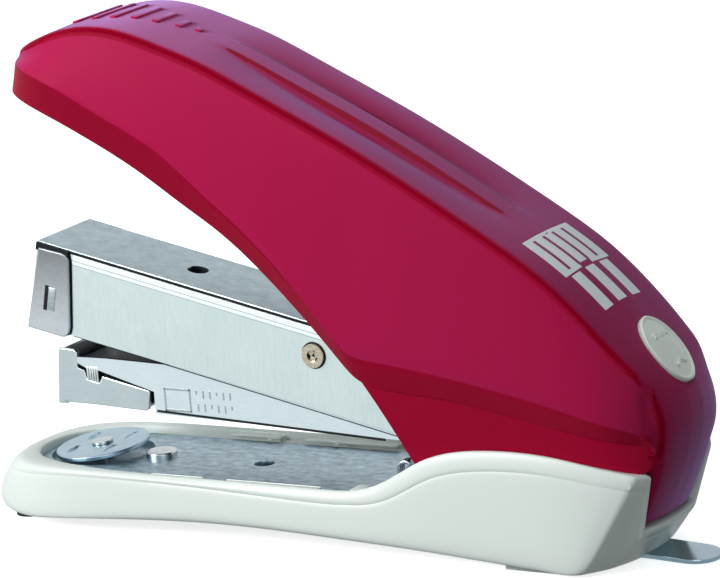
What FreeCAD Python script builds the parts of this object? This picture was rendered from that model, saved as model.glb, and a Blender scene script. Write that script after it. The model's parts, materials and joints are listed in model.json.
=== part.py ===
import FreeCAD, Part
import math
import os
from FreeCAD import Vector

# A desk stapler standing open, with its handle up. Millimetres. X runs from the nose to the
# stern, +Y to the left, +Z up. While it is drawn, X is measured from the nose of the base;
# each piece is moved by half the overall length before it is written, which puts the origin
# on the desk under the middle of the stapler.
NOTHING = 0.001
REACH = 400.0

# ---- Clearances
RUNNING = 0.05          # round pieces that turn in a hole
SLIDING = 0.1           # flat faces that slide past each other
SEAT = 0.2              # pieces laid or pushed into a pocket
SWING = 0.3             # moulded pieces that pass each other

# ---- The hinge pin, which everything that moves is hung from
PIN_BEHIND_NOSE = 118.0
PIN_HEIGHT = 26.0
PIN_RADIUS = 2.0

# ---- Widths, from the staples outwards
STAPLE_CROWN = 12.9
STAPLE_WIRE = 0.5
STAPLE_LEG = 6.0
MAGAZINE_SHEET = 0.8
HOUSING_SHEET = 0.9
FRONT_PLATE_SHEET = 0.7
BASE_SHEET = 1.0
FRAME_SHEET = 1.0
EAR_GAP = 0.8
FRAME_GAP = 0.3
SHELL_WALL = 2.2
HANDLE_WALL = 2.0
SKIRT_WALL = 1.6

# ---- Base shell
BASE_STERN = 146.3
BASE_HALF_WIDTH = 17.6
RIM_HEIGHT = 12.5
CHEEK_HEIGHT = 22.3
FLOOR_THICKNESS = 2.0
STERN_SHOULDER = 16.0   # below this height the stern leans inwards
STERN_LEAN = 0.75
NOSE_CORNER = 9.5
STERN_CORNER = 9.5
STERN_BOW = 2.0
STERN_FOOT_HEIGHT = 0.5
NOTCH_HALF_WIDTH = 9.8
NOTCH_FLOOR = 7.4
NOTCH_BEHIND_PIN = 17.0
TUB_BEHIND_PIN = 18.0
STERN_WALL_BEHIND_PIN = 15.5        # the wall below the notch is thicker

# ---- Base plate, anvil and feet
PLATE_TOP = 11.2
PLATE_SIDE_GAP = 2.4    # from the inside of the cheeks to the plate's edge
PLATE_BEHIND_PIN = 6.0
EAR_RADIUS = 5.0
PLATE_HOLE_AHEAD = 59.5
PLATE_HOLE_RADIUS = 1.9
RIVETS_AHEAD = [81.8, 14.0]
RIVET_RADIUS = 1.5
RIVET_HEAD_RADIUS = 2.9
RIVET_HEAD = 1.0
RIVET_EDGE = 0.3
RIVET_SHANK = 4.0
BOSS_WALL = 0.7
KEEPERS = [(75.4, 11.2), (59.2, 20.0)]      # rails over the plate's edges: (ahead of the pin, length)
KEEPER_OVERLAP = 0.8
KEEPER_THICKNESS = 1.0
CLIP_AHEAD = 33.0
CLIP_LENGTH = 3.8
CLIP_SLOPE = 0.6
CLIP_HEIGHT = 1.3
CLIP_OVERLAP = 1.6
ANVIL_AHEAD = 94.8
ANVIL_RADIUS = 8.8
ANVIL_THICKNESS = 0.9
ANVIL_MID_HEIGHT = 12.4
ANVIL_NOSE_DOWN = 4.5
ANVIL_SIDE_DOWN = 4.0
ANVIL_POCKETS = [(4.1, 0.4), (-4.1, 0.12)]  # (ahead of the spindle, depth)
POCKET_SIDE = 3.6
POCKET_SWEEP = 3.0
POCKET_RADIUS = 0.7
DISH_MARGIN = 0.8
DISH_DEPTH = 1.2
DISH_CLEAR = 0.6
SPINDLE_RADIUS = 1.6
ANVIL_BUTTON_RADIUS = 2.6
ANVIL_BUTTON_SWAY = 1.4
SPINDLE_HEAD = 0.4
FOOT_RADIUS = 3.0
FRONT_FOOT_HEIGHT = 2.4
FRONT_FOOT_BACK = 10.0
FRONT_FOOT_INSET = 8.6
REAR_FOOT_HEIGHT = 1.5
REAR_FOOT_LENGTH = 13.0
REAR_FOOT_BEHIND_PIN = 11.0
REAR_FOOT_INSET = 6.1
RIB_THICKNESS = 1.6

# ---- Staple remover
REMOVER_PROUD = 4.2     # past the stern
REMOVER_HALF_WIDTH = 4.7
REMOVER_SHEET = 0.9
REMOVER_HEIGHT = 0.9
REMOVER_DIP = 0.6
REMOVER_ROOT_AHEAD = 5.0
REMOVER_BEND_BEHIND_PIN = 21.0
REMOVER_SCREW_BEHIND_PIN = 2.0
REMOVER_SCREW_DEPTH = 1.2

# ---- Magazine and tray. The magazine tips about the pin and points a little upwards.
MAGAZINE_PITCH = 1.8
MAGAZINE_REACH = 97.5
MAGAZINE_HEIGHT = 9.5
MAGAZINE_BELOW_PIN = 6.9
MAGAZINE_BEHIND_PIN = 6.0
BLADE_BACK = 2.2
BLADE_THICKNESS = 0.6
ROD_RADIUS = 1.0
FOLLOWER_LENGTH = 10.0
STRIP_LENGTH = 24.0
RAIL_SHEET = 0.8
RAIL_TOP = 7.6
RAIL_BOTTOM = 1.4
ROD_UP = 4.4
CHANNEL_GAP = 1.6
HEAD_LENGTH = 18.8
# The tray's head from the side, as (behind its nose, above the magazine's floor).
HEAD_SIDE = [(0.0, 0.6), (-0.3, 10.4), (2.9, 10.5), (3.5, 9.9), (3.5, 7.7), (5.2, 6.9), (5.4, 5.0),
             (7.5, 4.5), (8.6, 4.9), (9.2, 6.0), (HEAD_LENGTH, 3.7), (HEAD_LENGTH - 0.1, 0.4)]

# ---- Driver housing
HOUSING_PITCH = 12.2
HOUSING_REACH = 103.4
HOUSING_HEIGHT = 16.2
HOUSING_ABOVE_PIN = 5.8
HOUSING_BEHIND_PIN = 6.5
TOP_HOLE_BACK = 30.5
TOP_HOLE_RADIUS = 1.9
EYELET_BACK = 61.0
EYELET_DOWN = 5.9
EYELET_RADIUS = 1.5
EYELET_BORE = 1.1
EYELET_FLANGE_RADIUS = 2.2
EYELET_FLANGE = 0.6
# The front plate's ear, as (behind the housing's nose, below its top), and the slot struck in it.
FRONT_EAR = [(0.0, 0.3), (7.0, 0.05), (8.4, 0.85), (10.0, 15.0), (8.7, HOUSING_HEIGHT + 0.5),
             (0.0, HOUSING_HEIGHT + 0.6)]
FRONT_SLOT_BACK = 4.2
FRONT_SLOT_WIDTH = 0.8
FRONT_SLOT_DOWN = 7.6
FRONT_SLOT_HEIGHT = 4.8

# ---- Handle. It swings down by this much, and carries the housing down by a share of it.
HANDLE_SWING = 24.0
HOUSING_SHARE = 0.54
PRESS_GAP = 0.3
LUG_RADIUS = 4.6
LUG_SINK = 0.5
LUG_TOP_ABOVE_PIN = 7.5
SKIRT_BOTTOM = 11.5
COLLAR_BOTTOM = 22.8
PIN_COVER = 1.0
BRIDGE_FRONT_AHEAD = 50.0
BRIDGE_REAR_AHEAD = 34.0
BLOCK_GAP = 0.4
BLOCK_WALL = 1.8
HANDLE_STEP = 0.2       # the handle is this much narrower than the base on each side

# The handle's lines seen from the side, as (behind the nose, above the desk), on a drawing that
# has the pin and the stern here. They are stretched to suit where the pin and the stern are.
PIN_DRAWN = 118.0
PIN_HEIGHT_DRAWN = 26.0
STERN_DRAWN = 146.3
LOWER_EDGE = [(17.4, 82.4), (20.5, 81.6), (29.5, 79.0), (38.0, 74.8), (47.5, 69.8), (56.2, 63.9),
              (65.5, 57.6), (76.2, 47.2), (84.5, 38.2), (89.5, 32.3), (109.3, 30.3), (127.2, 26.9),
              (140.4, 24.3), (148.4, 23.4)]
CREASE = [(17.4, 87.6), (20.5, 88.3), (31.0, 86.2), (38.0, 82.5), (47.0, 76.7), (60.0, 66.8),
          (72.0, 57.3), (82.0, 46.2), (86.9, 39.2), (89.5, 37.6), (95.0, 36.9), (110.0, 34.8),
          (127.8, 31.2), (137.7, 28.3), (144.3, 25.9), (148.4, 25.2)]
CREST = [(17.4, 88.2), (20.5, 89.8), (24.0, 91.4), (29.0, 93.4), (33.0, 94.6), (38.0, 95.1), (45.6, 94.0),
         (51.0, 92.2), (60.3, 88.7), (68.5, 84.9), (92.0, 73.5), (113.8, 61.1), (126.7, 52.9),
         (134.5, 45.9), (140.8, 39.0), (144.8, 34.4), (147.2, 30.2), (148.4, 26.2)]
# How far each line lies inside the handle's half width, as (behind the nose, inset).
LOWER_INSET = [(17.4, 12.4), (18.4, 8.8), (20.5, 5.6), (24.0, 3.2), (29.5, 2.0), (109.3, 1.7),
               (138.0, 2.2), (144.3, 4.9), (148.4, 9.8)]
CREASE_INSET = [(17.4, 11.8), (18.4, 8.0), (20.5, 4.5), (24.0, 1.8), (29.5, 0.6), (47.0, 0.1),
                (127.8, 0.0), (138.0, 0.5), (144.3, 2.8), (147.2, 5.4), (148.4, 9.2)]
CREST_INSET = [(17.4, 12.8), (18.4, 9.8), (20.5, 7.2), (24.0, 6.0), (38.0, 5.2), (138.0, 5.2),
               (144.3, 6.1), (147.2, 7.4), (148.4, 10.2)]
STATIONS = [17.4, 18.4, 20.5, 24.0, 29.5, 33.0, 38.0, 47.0, 56.2, 65.5, 76.2, 84.5, 89.5, 99.0, 113.8,
            126.7, 134.5, 140.8, 144.3, 147.2, 148.4]
# The tail that closes the stern, as (behind the pin on the drawing, above the desk).
TAIL_SIDE = [(16.0, 28.5), (16.0, 9.0), (23.5, 8.2), (27.7, 17.3), (29.7, 24.2), (29.9, 27.5)]

# ---- Release button and latch
BUTTON_BEHIND_PIN = 24.6
BUTTON_ABOVE_PIN = 12.0
BUTTON_LEAN = 51.3      # its outward direction, from straight up towards the stern
BUTTON_HALF_LENGTH = 7.0
BUTTON_HALF_WIDTH = 4.8
BUTTON_PROUD = 0.7
BUTTON_DEPTH = 5.0
BUTTON_STEM_RADIUS = 1.6
BUTTON_TRAVEL = 2.5
LATCH_TRAVEL = 1.0
LATCH_THICKNESS = 1.2
LATCH_BEHIND_PIN = 0.8
LATCH_TONGUE = 2.6
LATCH_HEAD = 0.5
SHELF_DEPTH = 9.0
SHELF_THICKNESS = 1.4

# ---- Springs
SPRING_WIRE = 0.5
LIFT_WIRE_RADIUS = 0.4
LIFT_EYE_RADIUS = 1.5
LIFT_EYE_AHEAD = 24.8
LIFT_EYE_ABOVE_PLATE = 3.4
LIFT_TIP_AHEAD = 14.0
LIFT_FOOT = 4.5
LIFT_INSET = 1.6
RETURN_REAR_AHEAD = 11.0
RETURN_HEEL_AHEAD = 21.0
RETURN_TIP_AHEAD = 41.0
RETURN_THICKNESS = 0.6
RETURN_HALF_WIDTH = 4.0

# ---- Sizes that follow from the ones above
PIN_X = PIN_BEHIND_NOSE
MAGAZINE_HALF = STAPLE_CROWN / 2 + MAGAZINE_SHEET + 0.25
HOUSING_HALF = MAGAZINE_HALF + SLIDING + HOUSING_SHEET
EAR_INNER = HOUSING_HALF + EAR_GAP
EAR_OUTER = EAR_INNER + BASE_SHEET
FRAME_INNER = EAR_OUTER + FRAME_GAP
FRAME_OUTER = FRAME_INNER + FRAME_SHEET
CHEEK_INNER = BASE_HALF_WIDTH - SHELL_WALL
PLATE_HALF_WIDTH = CHEEK_INNER - PLATE_SIDE_GAP
SKIRT_HALF_WIDTH = CHEEK_INNER - SEAT
HANDLE_HALF_WIDTH = BASE_HALF_WIDTH - HANDLE_STEP
BLOCK_HALF_WIDTH = NOTCH_HALF_WIDTH - BLOCK_GAP
REMOVER_TIP = BASE_STERN + REMOVER_PROUD
MAGAZINE_FLOOR = PIN_HEIGHT - MAGAZINE_BELOW_PIN
HOUSING_TOP = PIN_HEIGHT + HOUSING_ABOVE_PIN
PLATE_BOTTOM = PLATE_TOP - BASE_SHEET
ANVIL_X = PIN_X - ANVIL_AHEAD
DISH_OUTER = ANVIL_RADIUS + DISH_MARGIN + BASE_SHEET
TUB_START = ANVIL_X - DISH_OUTER - DISH_CLEAR
SCREW_X = PIN_X + REMOVER_SCREW_BEHIND_PIN
TRAY_NOSE = PIN_X - MAGAZINE_REACH
HOUSING_NOSE = PIN_X - HOUSING_REACH
RAIL_HALF = STAPLE_CROWN / 2 - STAPLE_WIRE - 0.25
RAIL_START = BLADE_BACK + BLADE_THICKNESS
RAIL_END = MAGAZINE_REACH - PIN_RADIUS - 1.5
FOLLOWER_START = RAIL_START + STRIP_LENGTH + 0.3


# ---- Ways of making solids

def prism_y(points, y_low, y_high):
    """A side view, drawn as (x, z) points, given thickness from y_low to y_high."""
    wire = Part.makePolygon([Vector(x, y_low, z) for x, z in points + points[:1]])
    return Part.Face(wire).extrude(Vector(0, y_high - y_low, 0))


def both_sides(points, y_inner, y_outer):
    """The same side view as a left and a right plate."""
    return [prism_y(points, y_inner, y_outer), prism_y(points, -y_outer, -y_inner)]


def box(x_low, x_high, y_low, y_high, z_low, z_high):
    return Part.makeBox(x_high - x_low, y_high - y_low, z_high - z_low, Vector(x_low, y_low, z_low))


def rod_y(x, z, radius, y_low, y_high):
    return Part.makeCylinder(radius, y_high - y_low, Vector(x, y_low, z), Vector(0, 1, 0))


def rod_z(x, y, radius, z_low, z_high):
    return Part.makeCylinder(radius, z_high - z_low, Vector(x, y, z_low))


def joined(pieces):
    """One solid from pieces that touch or overlap."""
    whole = pieces[0].multiFuse(pieces[1:]) if len(pieces) > 1 else pieces[0]
    return whole.removeSplitter()


def pitched(shape, degrees):
    """Turned about the hinge pin; a positive angle lifts the nose."""
    turned = shape.copy()
    turned.rotate(Vector(PIN_X, 0, PIN_HEIGHT), Vector(0, 1, 0), degrees)
    return turned


def on_line(line, x):
    """The height at x of a line drawn as (x, height) points."""
    for (x0, z0), (x1, z1) in zip(line, line[1:]):
        if x <= x1:
            return z0 + (z1 - z0) * (x - x0) / (x1 - x0)
    return line[-1][1]


def behind_pin(distance):
    """A place behind the pin, which keeps its share of the way to the stern."""
    return PIN_X + distance * (BASE_STERN - PIN_X) / (STERN_DRAWN - PIN_DRAWN)


def coil(radius, wire, low, high, turns):
    """A compression spring about Z, its end turns flat on low and high."""
    pitch = (high - low - wire) / turns
    helix = Part.makeHelix(pitch, pitch * turns, radius)
    start = Part.makeCircle(wire / 2, Vector(radius, 0, 0), Vector(0, 1, 0))
    spring = Part.Wire(helix.Edges).makePipeShell([Part.Wire(start)], True, True)
    spring.translate(Vector(0, 0, low + wire / 2))
    return spring


def export(name, shape):
    """Writes one sub-part, with the origin under the middle of the stapler."""
    placed = shape.copy()
    placed.translate(Vector(-REMOVER_TIP / 2, 0, 0))
    placed.exportStep("parts/" + name + ".step")


# ---- Base

def base_outline(inset, z):
    """The base's plan at one height: a rounded nose and a bowed stern that leans outwards."""
    half = BASE_HALF_WIDTH - inset
    nose = Vector(inset, 0, z)
    stern = BASE_STERN - inset - (STERN_SHOULDER - z) * STERN_LEAN
    edges = []
    for side in (1, -1):
        corner = half * side
        front = [Vector(nose.x, (half - NOSE_CORNER) * side, z),
                 Vector(nose.x + NOSE_CORNER * 0.293, (half - NOSE_CORNER * 0.293) * side, z),
                 Vector(nose.x + NOSE_CORNER, corner, z)]
        back = [Vector(stern - STERN_BOW - STERN_CORNER, corner, z),
                Vector(stern - STERN_BOW - STERN_CORNER * 0.293, (half - STERN_CORNER * 0.293) * side, z),
                Vector(stern - STERN_BOW * 0.4, (half - STERN_CORNER) * side, z)]
        edges.append([Part.Arc(*front).toShape(), Part.LineSegment(front[2], back[0]).toShape(),
                      Part.Arc(*back).toShape()])
    left, right = edges
    bow_arc = Part.Arc(left[2].Vertexes[1].Point, Vector(stern, 0, z), right[2].Vertexes[1].Point)
    across = Part.LineSegment(right[0].Vertexes[0].Point, left[0].Vertexes[0].Point)
    return Part.Wire(left + [bow_arc.toShape()] + right[::-1] + [across.toShape()])


def underside():
    """The arch under the base, as (x, height): it stands clear of the desk between the feet."""
    return [(-1.0, FRONT_FOOT_HEIGHT), (16.0, FRONT_FOOT_HEIGHT), (PIN_X - 56.0, FRONT_FOOT_HEIGHT + 1.9),
            (PIN_X - 18.0, FRONT_FOOT_HEIGHT + 0.2), (behind_pin(11.0), STERN_FOOT_HEIGHT),
            (BASE_STERN + 4.0, STERN_FOOT_HEIGHT)]


def base_side(drop):
    """The base from the side: ramp, rim, and the cheeks that stand up beside the hinge."""
    rim = RIM_HEIGHT - drop
    cheek = CHEEK_HEIGHT - drop
    ramp = [(-0.2, FRONT_FOOT_HEIGHT), (0.6, 4.4), (2.4, 7.6), (4.6, 10.2), (7.2, rim - 0.6), (10.5, rim)]
    hump = [(PIN_X - 29.5, rim + 0.1), (PIN_X - 25.5, rim + 1.7), (PIN_X - 22.0, rim + 3.4),
            (PIN_X - 18.5, rim + 5.7), (PIN_X - 14.0, cheek - 2.1), (PIN_X - 9.0, cheek - 0.8),
            (PIN_X - 3.0, cheek - 0.2), (behind_pin(6.0), cheek), (behind_pin(14.0), cheek - 0.3),
            (behind_pin(21.0), cheek - 0.9), (BASE_STERN, cheek - 2.2), (BASE_STERN, STERN_SHOULDER)]
    return underside()[::-1] + ramp + hump


def tub_outline(inset):
    """Half of the opening in the top of the base, as (x, half width) points from nose to stern."""
    inner = CHEEK_INNER - inset
    tip = TUB_START + inset
    dish = DISH_OUTER - inset
    return [(tip, 0.0), (tip + 0.5, 4.0 - inset), (tip + 2.2, 8.0 - inset), (tip + 6.5, dish + 0.7),
            (tip + 13.0, dish + 2.6), (tip + 25.0, inner - 0.8), (tip + 48.0, inner),
            (behind_pin(10.0), inner), (behind_pin(15.0), inner - 2.4),
            (behind_pin(TUB_BEHIND_PIN), NOTCH_HALF_WIDTH - inset)]


def tub(inset, z_low, z_high):
    """A solid that fills the opening in the top of the base, less an inset all round."""
    half = tub_outline(inset)
    points = [Vector(x, y, z_low) for x, y in half] + [Vector(x, -y, z_low) for x, y in half[:0:-1]]
    return Part.Face(Part.makePolygon(points + points[:1])).extrude(Vector(0, 0, z_high - z_low))


def make_base_shell():
    top = CHEEK_HEIGHT + 1.0
    body = Part.makeLoft([base_outline(0.0, 0.0), base_outline(0.0, top)], True, True)
    body = body.common(prism_y(base_side(0.0), -REACH, REACH))
    floor_line = [(x, z + FLOOR_THICKNESS) for x, z in underside()[:-1]]
    wall_x = behind_pin(STERN_WALL_BEHIND_PIN)
    hollow = floor_line + [(wall_x, floor_line[-1][1]), (wall_x, NOTCH_FLOOR), (BASE_STERN + 4.0, NOTCH_FLOOR),
                           (BASE_STERN + 4.0, REACH), (-1.0, REACH)]
    body = body.cut(tub(0.0, 0.0, top + 1.0).common(prism_y(hollow, -REACH, REACH)))
    stern_notch = box(behind_pin(NOTCH_BEHIND_PIN), BASE_STERN + 20.0, -NOTCH_HALF_WIDTH, NOTCH_HALF_WIDTH,
                      NOTCH_FLOOR, REACH)
    body = body.cut(stern_notch)

    # Two long ribs carry the plate, and short rails over its edges keep it down.
    floor = FRONT_FOOT_HEIGHT + 0.5
    rib = box(TUB_START + 12.5, PIN_X - 30.0, PLATE_HALF_WIDTH - SEAT - RIB_THICKNESS,
              PLATE_HALF_WIDTH - SEAT, floor, PLATE_BOTTOM)
    under = prism_y(underside() + [(BASE_STERN + 4.0, REACH), (-1.0, REACH)], -REACH, REACH)
    ribs = [rib.common(under), rib.mirror(Vector(), Vector(0, 1, 0)).common(under)]
    keepers = []
    low = PLATE_TOP + SLIDING
    for ahead, length in KEEPERS:
        start = PIN_X - ahead
        keeper = box(start, start + length, PLATE_HALF_WIDTH - KEEPER_OVERLAP, CHEEK_INNER + SEAT,
                     low, low + KEEPER_THICKNESS)
        keepers += [keeper, keeper.mirror(Vector(), Vector(0, 1, 0))]
    bosses = []
    for ahead in RIVETS_AHEAD:
        bosses.append(rod_z(PIN_X - ahead, 0, RIVET_RADIUS + BOSS_WALL, floor, PLATE_BOTTOM).common(under))
    body = joined([body] + ribs + keepers + bosses)
    for ahead in RIVETS_AHEAD:
        body = body.cut(rod_z(PIN_X - ahead, 0, RIVET_RADIUS + RUNNING, PLATE_BOTTOM - RIVET_SHANK - 0.5, REACH))

    # Openings in the floor: the anvil's push button, the feet, and the remover's pocket and slot.
    body = body.cut(rod_z(ANVIL_X, 0, ANVIL_BUTTON_RADIUS + ANVIL_BUTTON_SWAY, -1.0, PLATE_BOTTOM))
    for foot in rear_feet():
        body = body.cut(foot)
    pocket = box(PIN_X - REMOVER_ROOT_AHEAD - SLIDING, REMOVER_TIP, -REMOVER_HALF_WIDTH - SLIDING,
                 REMOVER_HALF_WIDTH + SLIDING, -1.0, REMOVER_HEIGHT + REMOVER_SHEET)
    body = body.cut(pocket)
    return body.cut(rod_z(SCREW_X, 0, RIVET_RADIUS, -1.0, REMOVER_HEIGHT + REMOVER_SHEET + REMOVER_SCREW_DEPTH))


def make_base_plate():
    sheet = tub(SWING, PLATE_BOTTOM, PLATE_TOP)
    limit = box(-1.0, PIN_X + PLATE_BEHIND_PIN, -PLATE_HALF_WIDTH, PLATE_HALF_WIDTH, 0.0, REACH)
    sheet = sheet.common(limit)
    dish = rod_z(ANVIL_X, 0, DISH_OUTER, PLATE_BOTTOM - DISH_DEPTH, PLATE_TOP)
    dish_hollow = rod_z(ANVIL_X, 0, DISH_OUTER - BASE_SHEET, PLATE_TOP - DISH_DEPTH, REACH)
    ear_side = [(PIN_X - 26.5, PLATE_BOTTOM), (PIN_X - 20.0, PLATE_TOP + 9.4),
                (PIN_X - 2.6, PIN_HEIGHT + 4.3), (PIN_X, PIN_HEIGHT + EAR_RADIUS - NOTHING),
                (PIN_X + EAR_RADIUS - NOTHING, PIN_HEIGHT), (PIN_X + PLATE_BEHIND_PIN, PLATE_BOTTOM)]
    ears = both_sides(ear_side, EAR_INNER, EAR_OUTER)
    for y_low in (EAR_INNER, -EAR_OUTER):
        ears.append(rod_y(PIN_X, PIN_HEIGHT, EAR_RADIUS, y_low, y_low + BASE_SHEET))
    plate = joined([sheet, dish] + ears).cut(dish_hollow)
    plate = plate.cut(rod_z(ANVIL_X, 0, SPINDLE_RADIUS + 0.5, 0.0, REACH))
    plate = plate.cut(rod_z(PIN_X - PLATE_HOLE_AHEAD, 0, PLATE_HOLE_RADIUS, 0.0, REACH))
    for ahead in RIVETS_AHEAD:
        plate = plate.cut(rod_z(PIN_X - ahead, 0, RIVET_RADIUS + RUNNING, 0.0, REACH))
    return plate.cut(rod_y(PIN_X, PIN_HEIGHT, PIN_RADIUS + RUNNING, -REACH, REACH))


def make_plate_rivets():
    rivets = []
    for ahead in RIVETS_AHEAD:
        shank = rod_z(PIN_X - ahead, 0, RIVET_RADIUS, PLATE_BOTTOM - RIVET_SHANK, PLATE_TOP + NOTHING)
        head = rod_z(PIN_X - ahead, 0, RIVET_HEAD_RADIUS, PLATE_TOP, PLATE_TOP + RIVET_HEAD)
        head = head.makeFillet(RIVET_EDGE, [head.Edges[0]])
        rivets.append(joined([shank, head]))
    return Part.makeCompound(rivets)


def make_plate_clips():
    """White moulded clips, snapped over the plate's edges just ahead of the cheeks."""
    front = PIN_X - CLIP_AHEAD
    back = front + CLIP_LENGTH
    low = PLATE_TOP + SLIDING / 2
    high = PLATE_TOP + CLIP_HEIGHT
    profile = [(front, low), (front + CLIP_SLOPE, high), (back - CLIP_SLOPE, high), (back, low)]
    return Part.makeCompound(both_sides(profile, PLATE_HALF_WIDTH - CLIP_OVERLAP, CHEEK_INNER - SLIDING))


def rear_feet():
    """Two rubber pads under the hinge."""
    pads = []
    end = behind_pin(REAR_FOOT_BEHIND_PIN)
    for side in (1, -1):
        y_mid = side * (BASE_HALF_WIDTH - REAR_FOOT_INSET)
        pads.append(box(end - REAR_FOOT_LENGTH, end, y_mid - FOOT_RADIUS, y_mid + FOOT_RADIUS,
                        0.0, REAR_FOOT_HEIGHT))
    return pads


def make_front_foot():
    reach = BASE_HALF_WIDTH - FRONT_FOOT_INSET - FOOT_RADIUS
    strip = box(FRONT_FOOT_BACK - FOOT_RADIUS, FRONT_FOOT_BACK + FOOT_RADIUS, -reach, reach,
                0.0, FRONT_FOOT_HEIGHT)
    ends = [rod_z(FRONT_FOOT_BACK, side * reach, FOOT_RADIUS, 0.0, FRONT_FOOT_HEIGHT) for side in (1, -1)]
    return joined([strip] + ends)


def make_staple_remover():
    low = REMOVER_HEIGHT
    high = low + REMOVER_SHEET
    root = PIN_X - REMOVER_ROOT_AHEAD
    bend = behind_pin(REMOVER_BEND_BEHIND_PIN)
    side = [(root, low), (bend, low), (REMOVER_TIP, low - REMOVER_DIP),
            (REMOVER_TIP, high - REMOVER_DIP - 0.1), (bend, high), (root, high)]
    blade = prism_y(side, -REMOVER_HALF_WIDTH, REMOVER_HALF_WIDTH)
    round_end = REMOVER_TIP - REMOVER_HALF_WIDTH
    plan = joined([box(root, round_end, -REMOVER_HALF_WIDTH, REMOVER_HALF_WIDTH, -1.0, high + 1.0),
                   rod_z(round_end, 0, REMOVER_HALF_WIDTH, -1.0, high + 1.0)])
    return blade.common(plan).cut(rod_z(SCREW_X, 0, RIVET_RADIUS + RUNNING, -1.0, REACH))


def make_remover_rivet():
    head = rod_z(SCREW_X, 0, RIVET_HEAD_RADIUS, 0.3, REMOVER_HEIGHT)
    shank = rod_z(SCREW_X, 0, RIVET_RADIUS, REMOVER_HEIGHT - NOTHING,
                  REMOVER_HEIGHT + REMOVER_SHEET + REMOVER_SCREW_DEPTH)
    return joined([head, shank])


def make_hinge_pin():
    """One plain pin, held in by the blind lugs of the handle."""
    end = SKIRT_HALF_WIDTH - PIN_COVER
    return rod_y(PIN_X, PIN_HEIGHT, PIN_RADIUS, -end, end)


# ---- Anvil: a disc that turns on a spindle, which is pushed up from below against a spring

def cocked(shape):
    """Tipped with the anvil, which sits a little askew on its spring."""
    tipped = shape.copy()
    centre = Vector(ANVIL_X, 0, ANVIL_MID_HEIGHT)
    tipped.rotate(centre, Vector(0, 1, 0), -ANVIL_NOSE_DOWN)
    tipped.rotate(centre, Vector(1, 0, 0), ANVIL_SIDE_DOWN)
    return tipped


def make_anvil_disc():
    low = ANVIL_MID_HEIGHT - ANVIL_THICKNESS / 2
    high = ANVIL_MID_HEIGHT + ANVIL_THICKNESS / 2
    disc = rod_z(ANVIL_X, 0, ANVIL_RADIUS, low, high)
    disc = disc.makeFillet(0.25, [edge for edge in disc.Edges if edge.Length > ANVIL_RADIUS])
    disc = disc.cut(rod_z(ANVIL_X, 0, SPINDLE_RADIUS + RUNNING, 0.0, REACH))
    # Two curved pockets on each side of the spindle turn the staple's legs over.
    for ahead, depth in ANVIL_POCKETS:
        for side in (1, -1):
            middle = Vector(ANVIL_X - ahead, side * POCKET_SIDE, high + POCKET_SWEEP)
            pocket = Part.makeTorus(POCKET_SWEEP, POCKET_RADIUS, middle, Vector(1, 0, 0))
            pocket = pocket.common(box(0.0, REACH, -REACH, REACH, high - depth, REACH))
            disc = disc.cut(pocket)
    return cocked(disc)


def make_anvil_spindle():
    high = ANVIL_MID_HEIGHT + ANVIL_THICKNESS / 2
    shank = rod_z(ANVIL_X, 0, SPINDLE_RADIUS, 5.5, high + SLIDING)
    head = rod_z(ANVIL_X, 0, SPINDLE_RADIUS + 0.4, high + SLIDING - NOTHING, high + SLIDING + SPINDLE_HEAD)
    button = rod_z(ANVIL_X, 0, ANVIL_BUTTON_RADIUS, 2.0, 5.7)
    collar_top = ANVIL_MID_HEIGHT - ANVIL_THICKNESS / 2 - RUNNING
    collar = rod_z(ANVIL_X, 0, SPINDLE_RADIUS + 0.4, collar_top - 0.5, collar_top)
    return cocked(joined([shank, head, button, collar]))


def make_anvil_spring():
    low = 5.8
    high = PLATE_BOTTOM - DISH_DEPTH - 0.35
    rings = coil(SPINDLE_RADIUS + 0.3 + SPRING_WIRE / 2, SPRING_WIRE, low, high, 2.5)
    rings.translate(Vector(ANVIL_X, 0, 0))
    return cocked(rings)


# ---- Magazine, drawn level and then pitched. Back is measured from its nose, up from its floor.

def magazine_points(points):
    return [(TRAY_NOSE + back, MAGAZINE_FLOOR + up) for back, up in points]


def magazine_box(back_low, back_high, half_low, half_high, up_low, up_high):
    """Boxes in the magazine's own directions: one across, or a pair when half_low isn't 0."""
    x_low = TRAY_NOSE + back_low
    x_high = TRAY_NOSE + back_high
    z_low = MAGAZINE_FLOOR + up_low
    z_high = MAGAZINE_FLOOR + up_high
    if half_low == 0:
        return [box(x_low, x_high, -half_high, half_high, z_low, z_high)]
    return [box(x_low, x_high, half_low, half_high, z_low, z_high),
            box(x_low, x_high, -half_high, -half_low, z_low, z_high)]


def make_magazine_channel():
    end = MAGAZINE_REACH + MAGAZINE_BEHIND_PIN
    lip = HEAD_LENGTH + CHANNEL_GAP
    inner = MAGAZINE_HALF - MAGAZINE_SHEET
    side = [(lip, 0.0), (lip, 4.1), (8.8, 7.0), (5.8, 7.3), (3.9, 8.1), (3.7, 9.2),
            (10.0, MAGAZINE_HEIGHT), (end, MAGAZINE_HEIGHT), (end, 0.0)]
    walls = both_sides(magazine_points(side), inner, MAGAZINE_HALF)
    floor = magazine_box(lip, end, 0, inner + NOTHING, 0.0, MAGAZINE_SHEET)
    channel = joined(walls + floor)
    channel = channel.cut(rod_y(PIN_X, PIN_HEIGHT, PIN_RADIUS + RUNNING, -REACH, REACH))
    return pitched(channel, MAGAZINE_PITCH)


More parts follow.
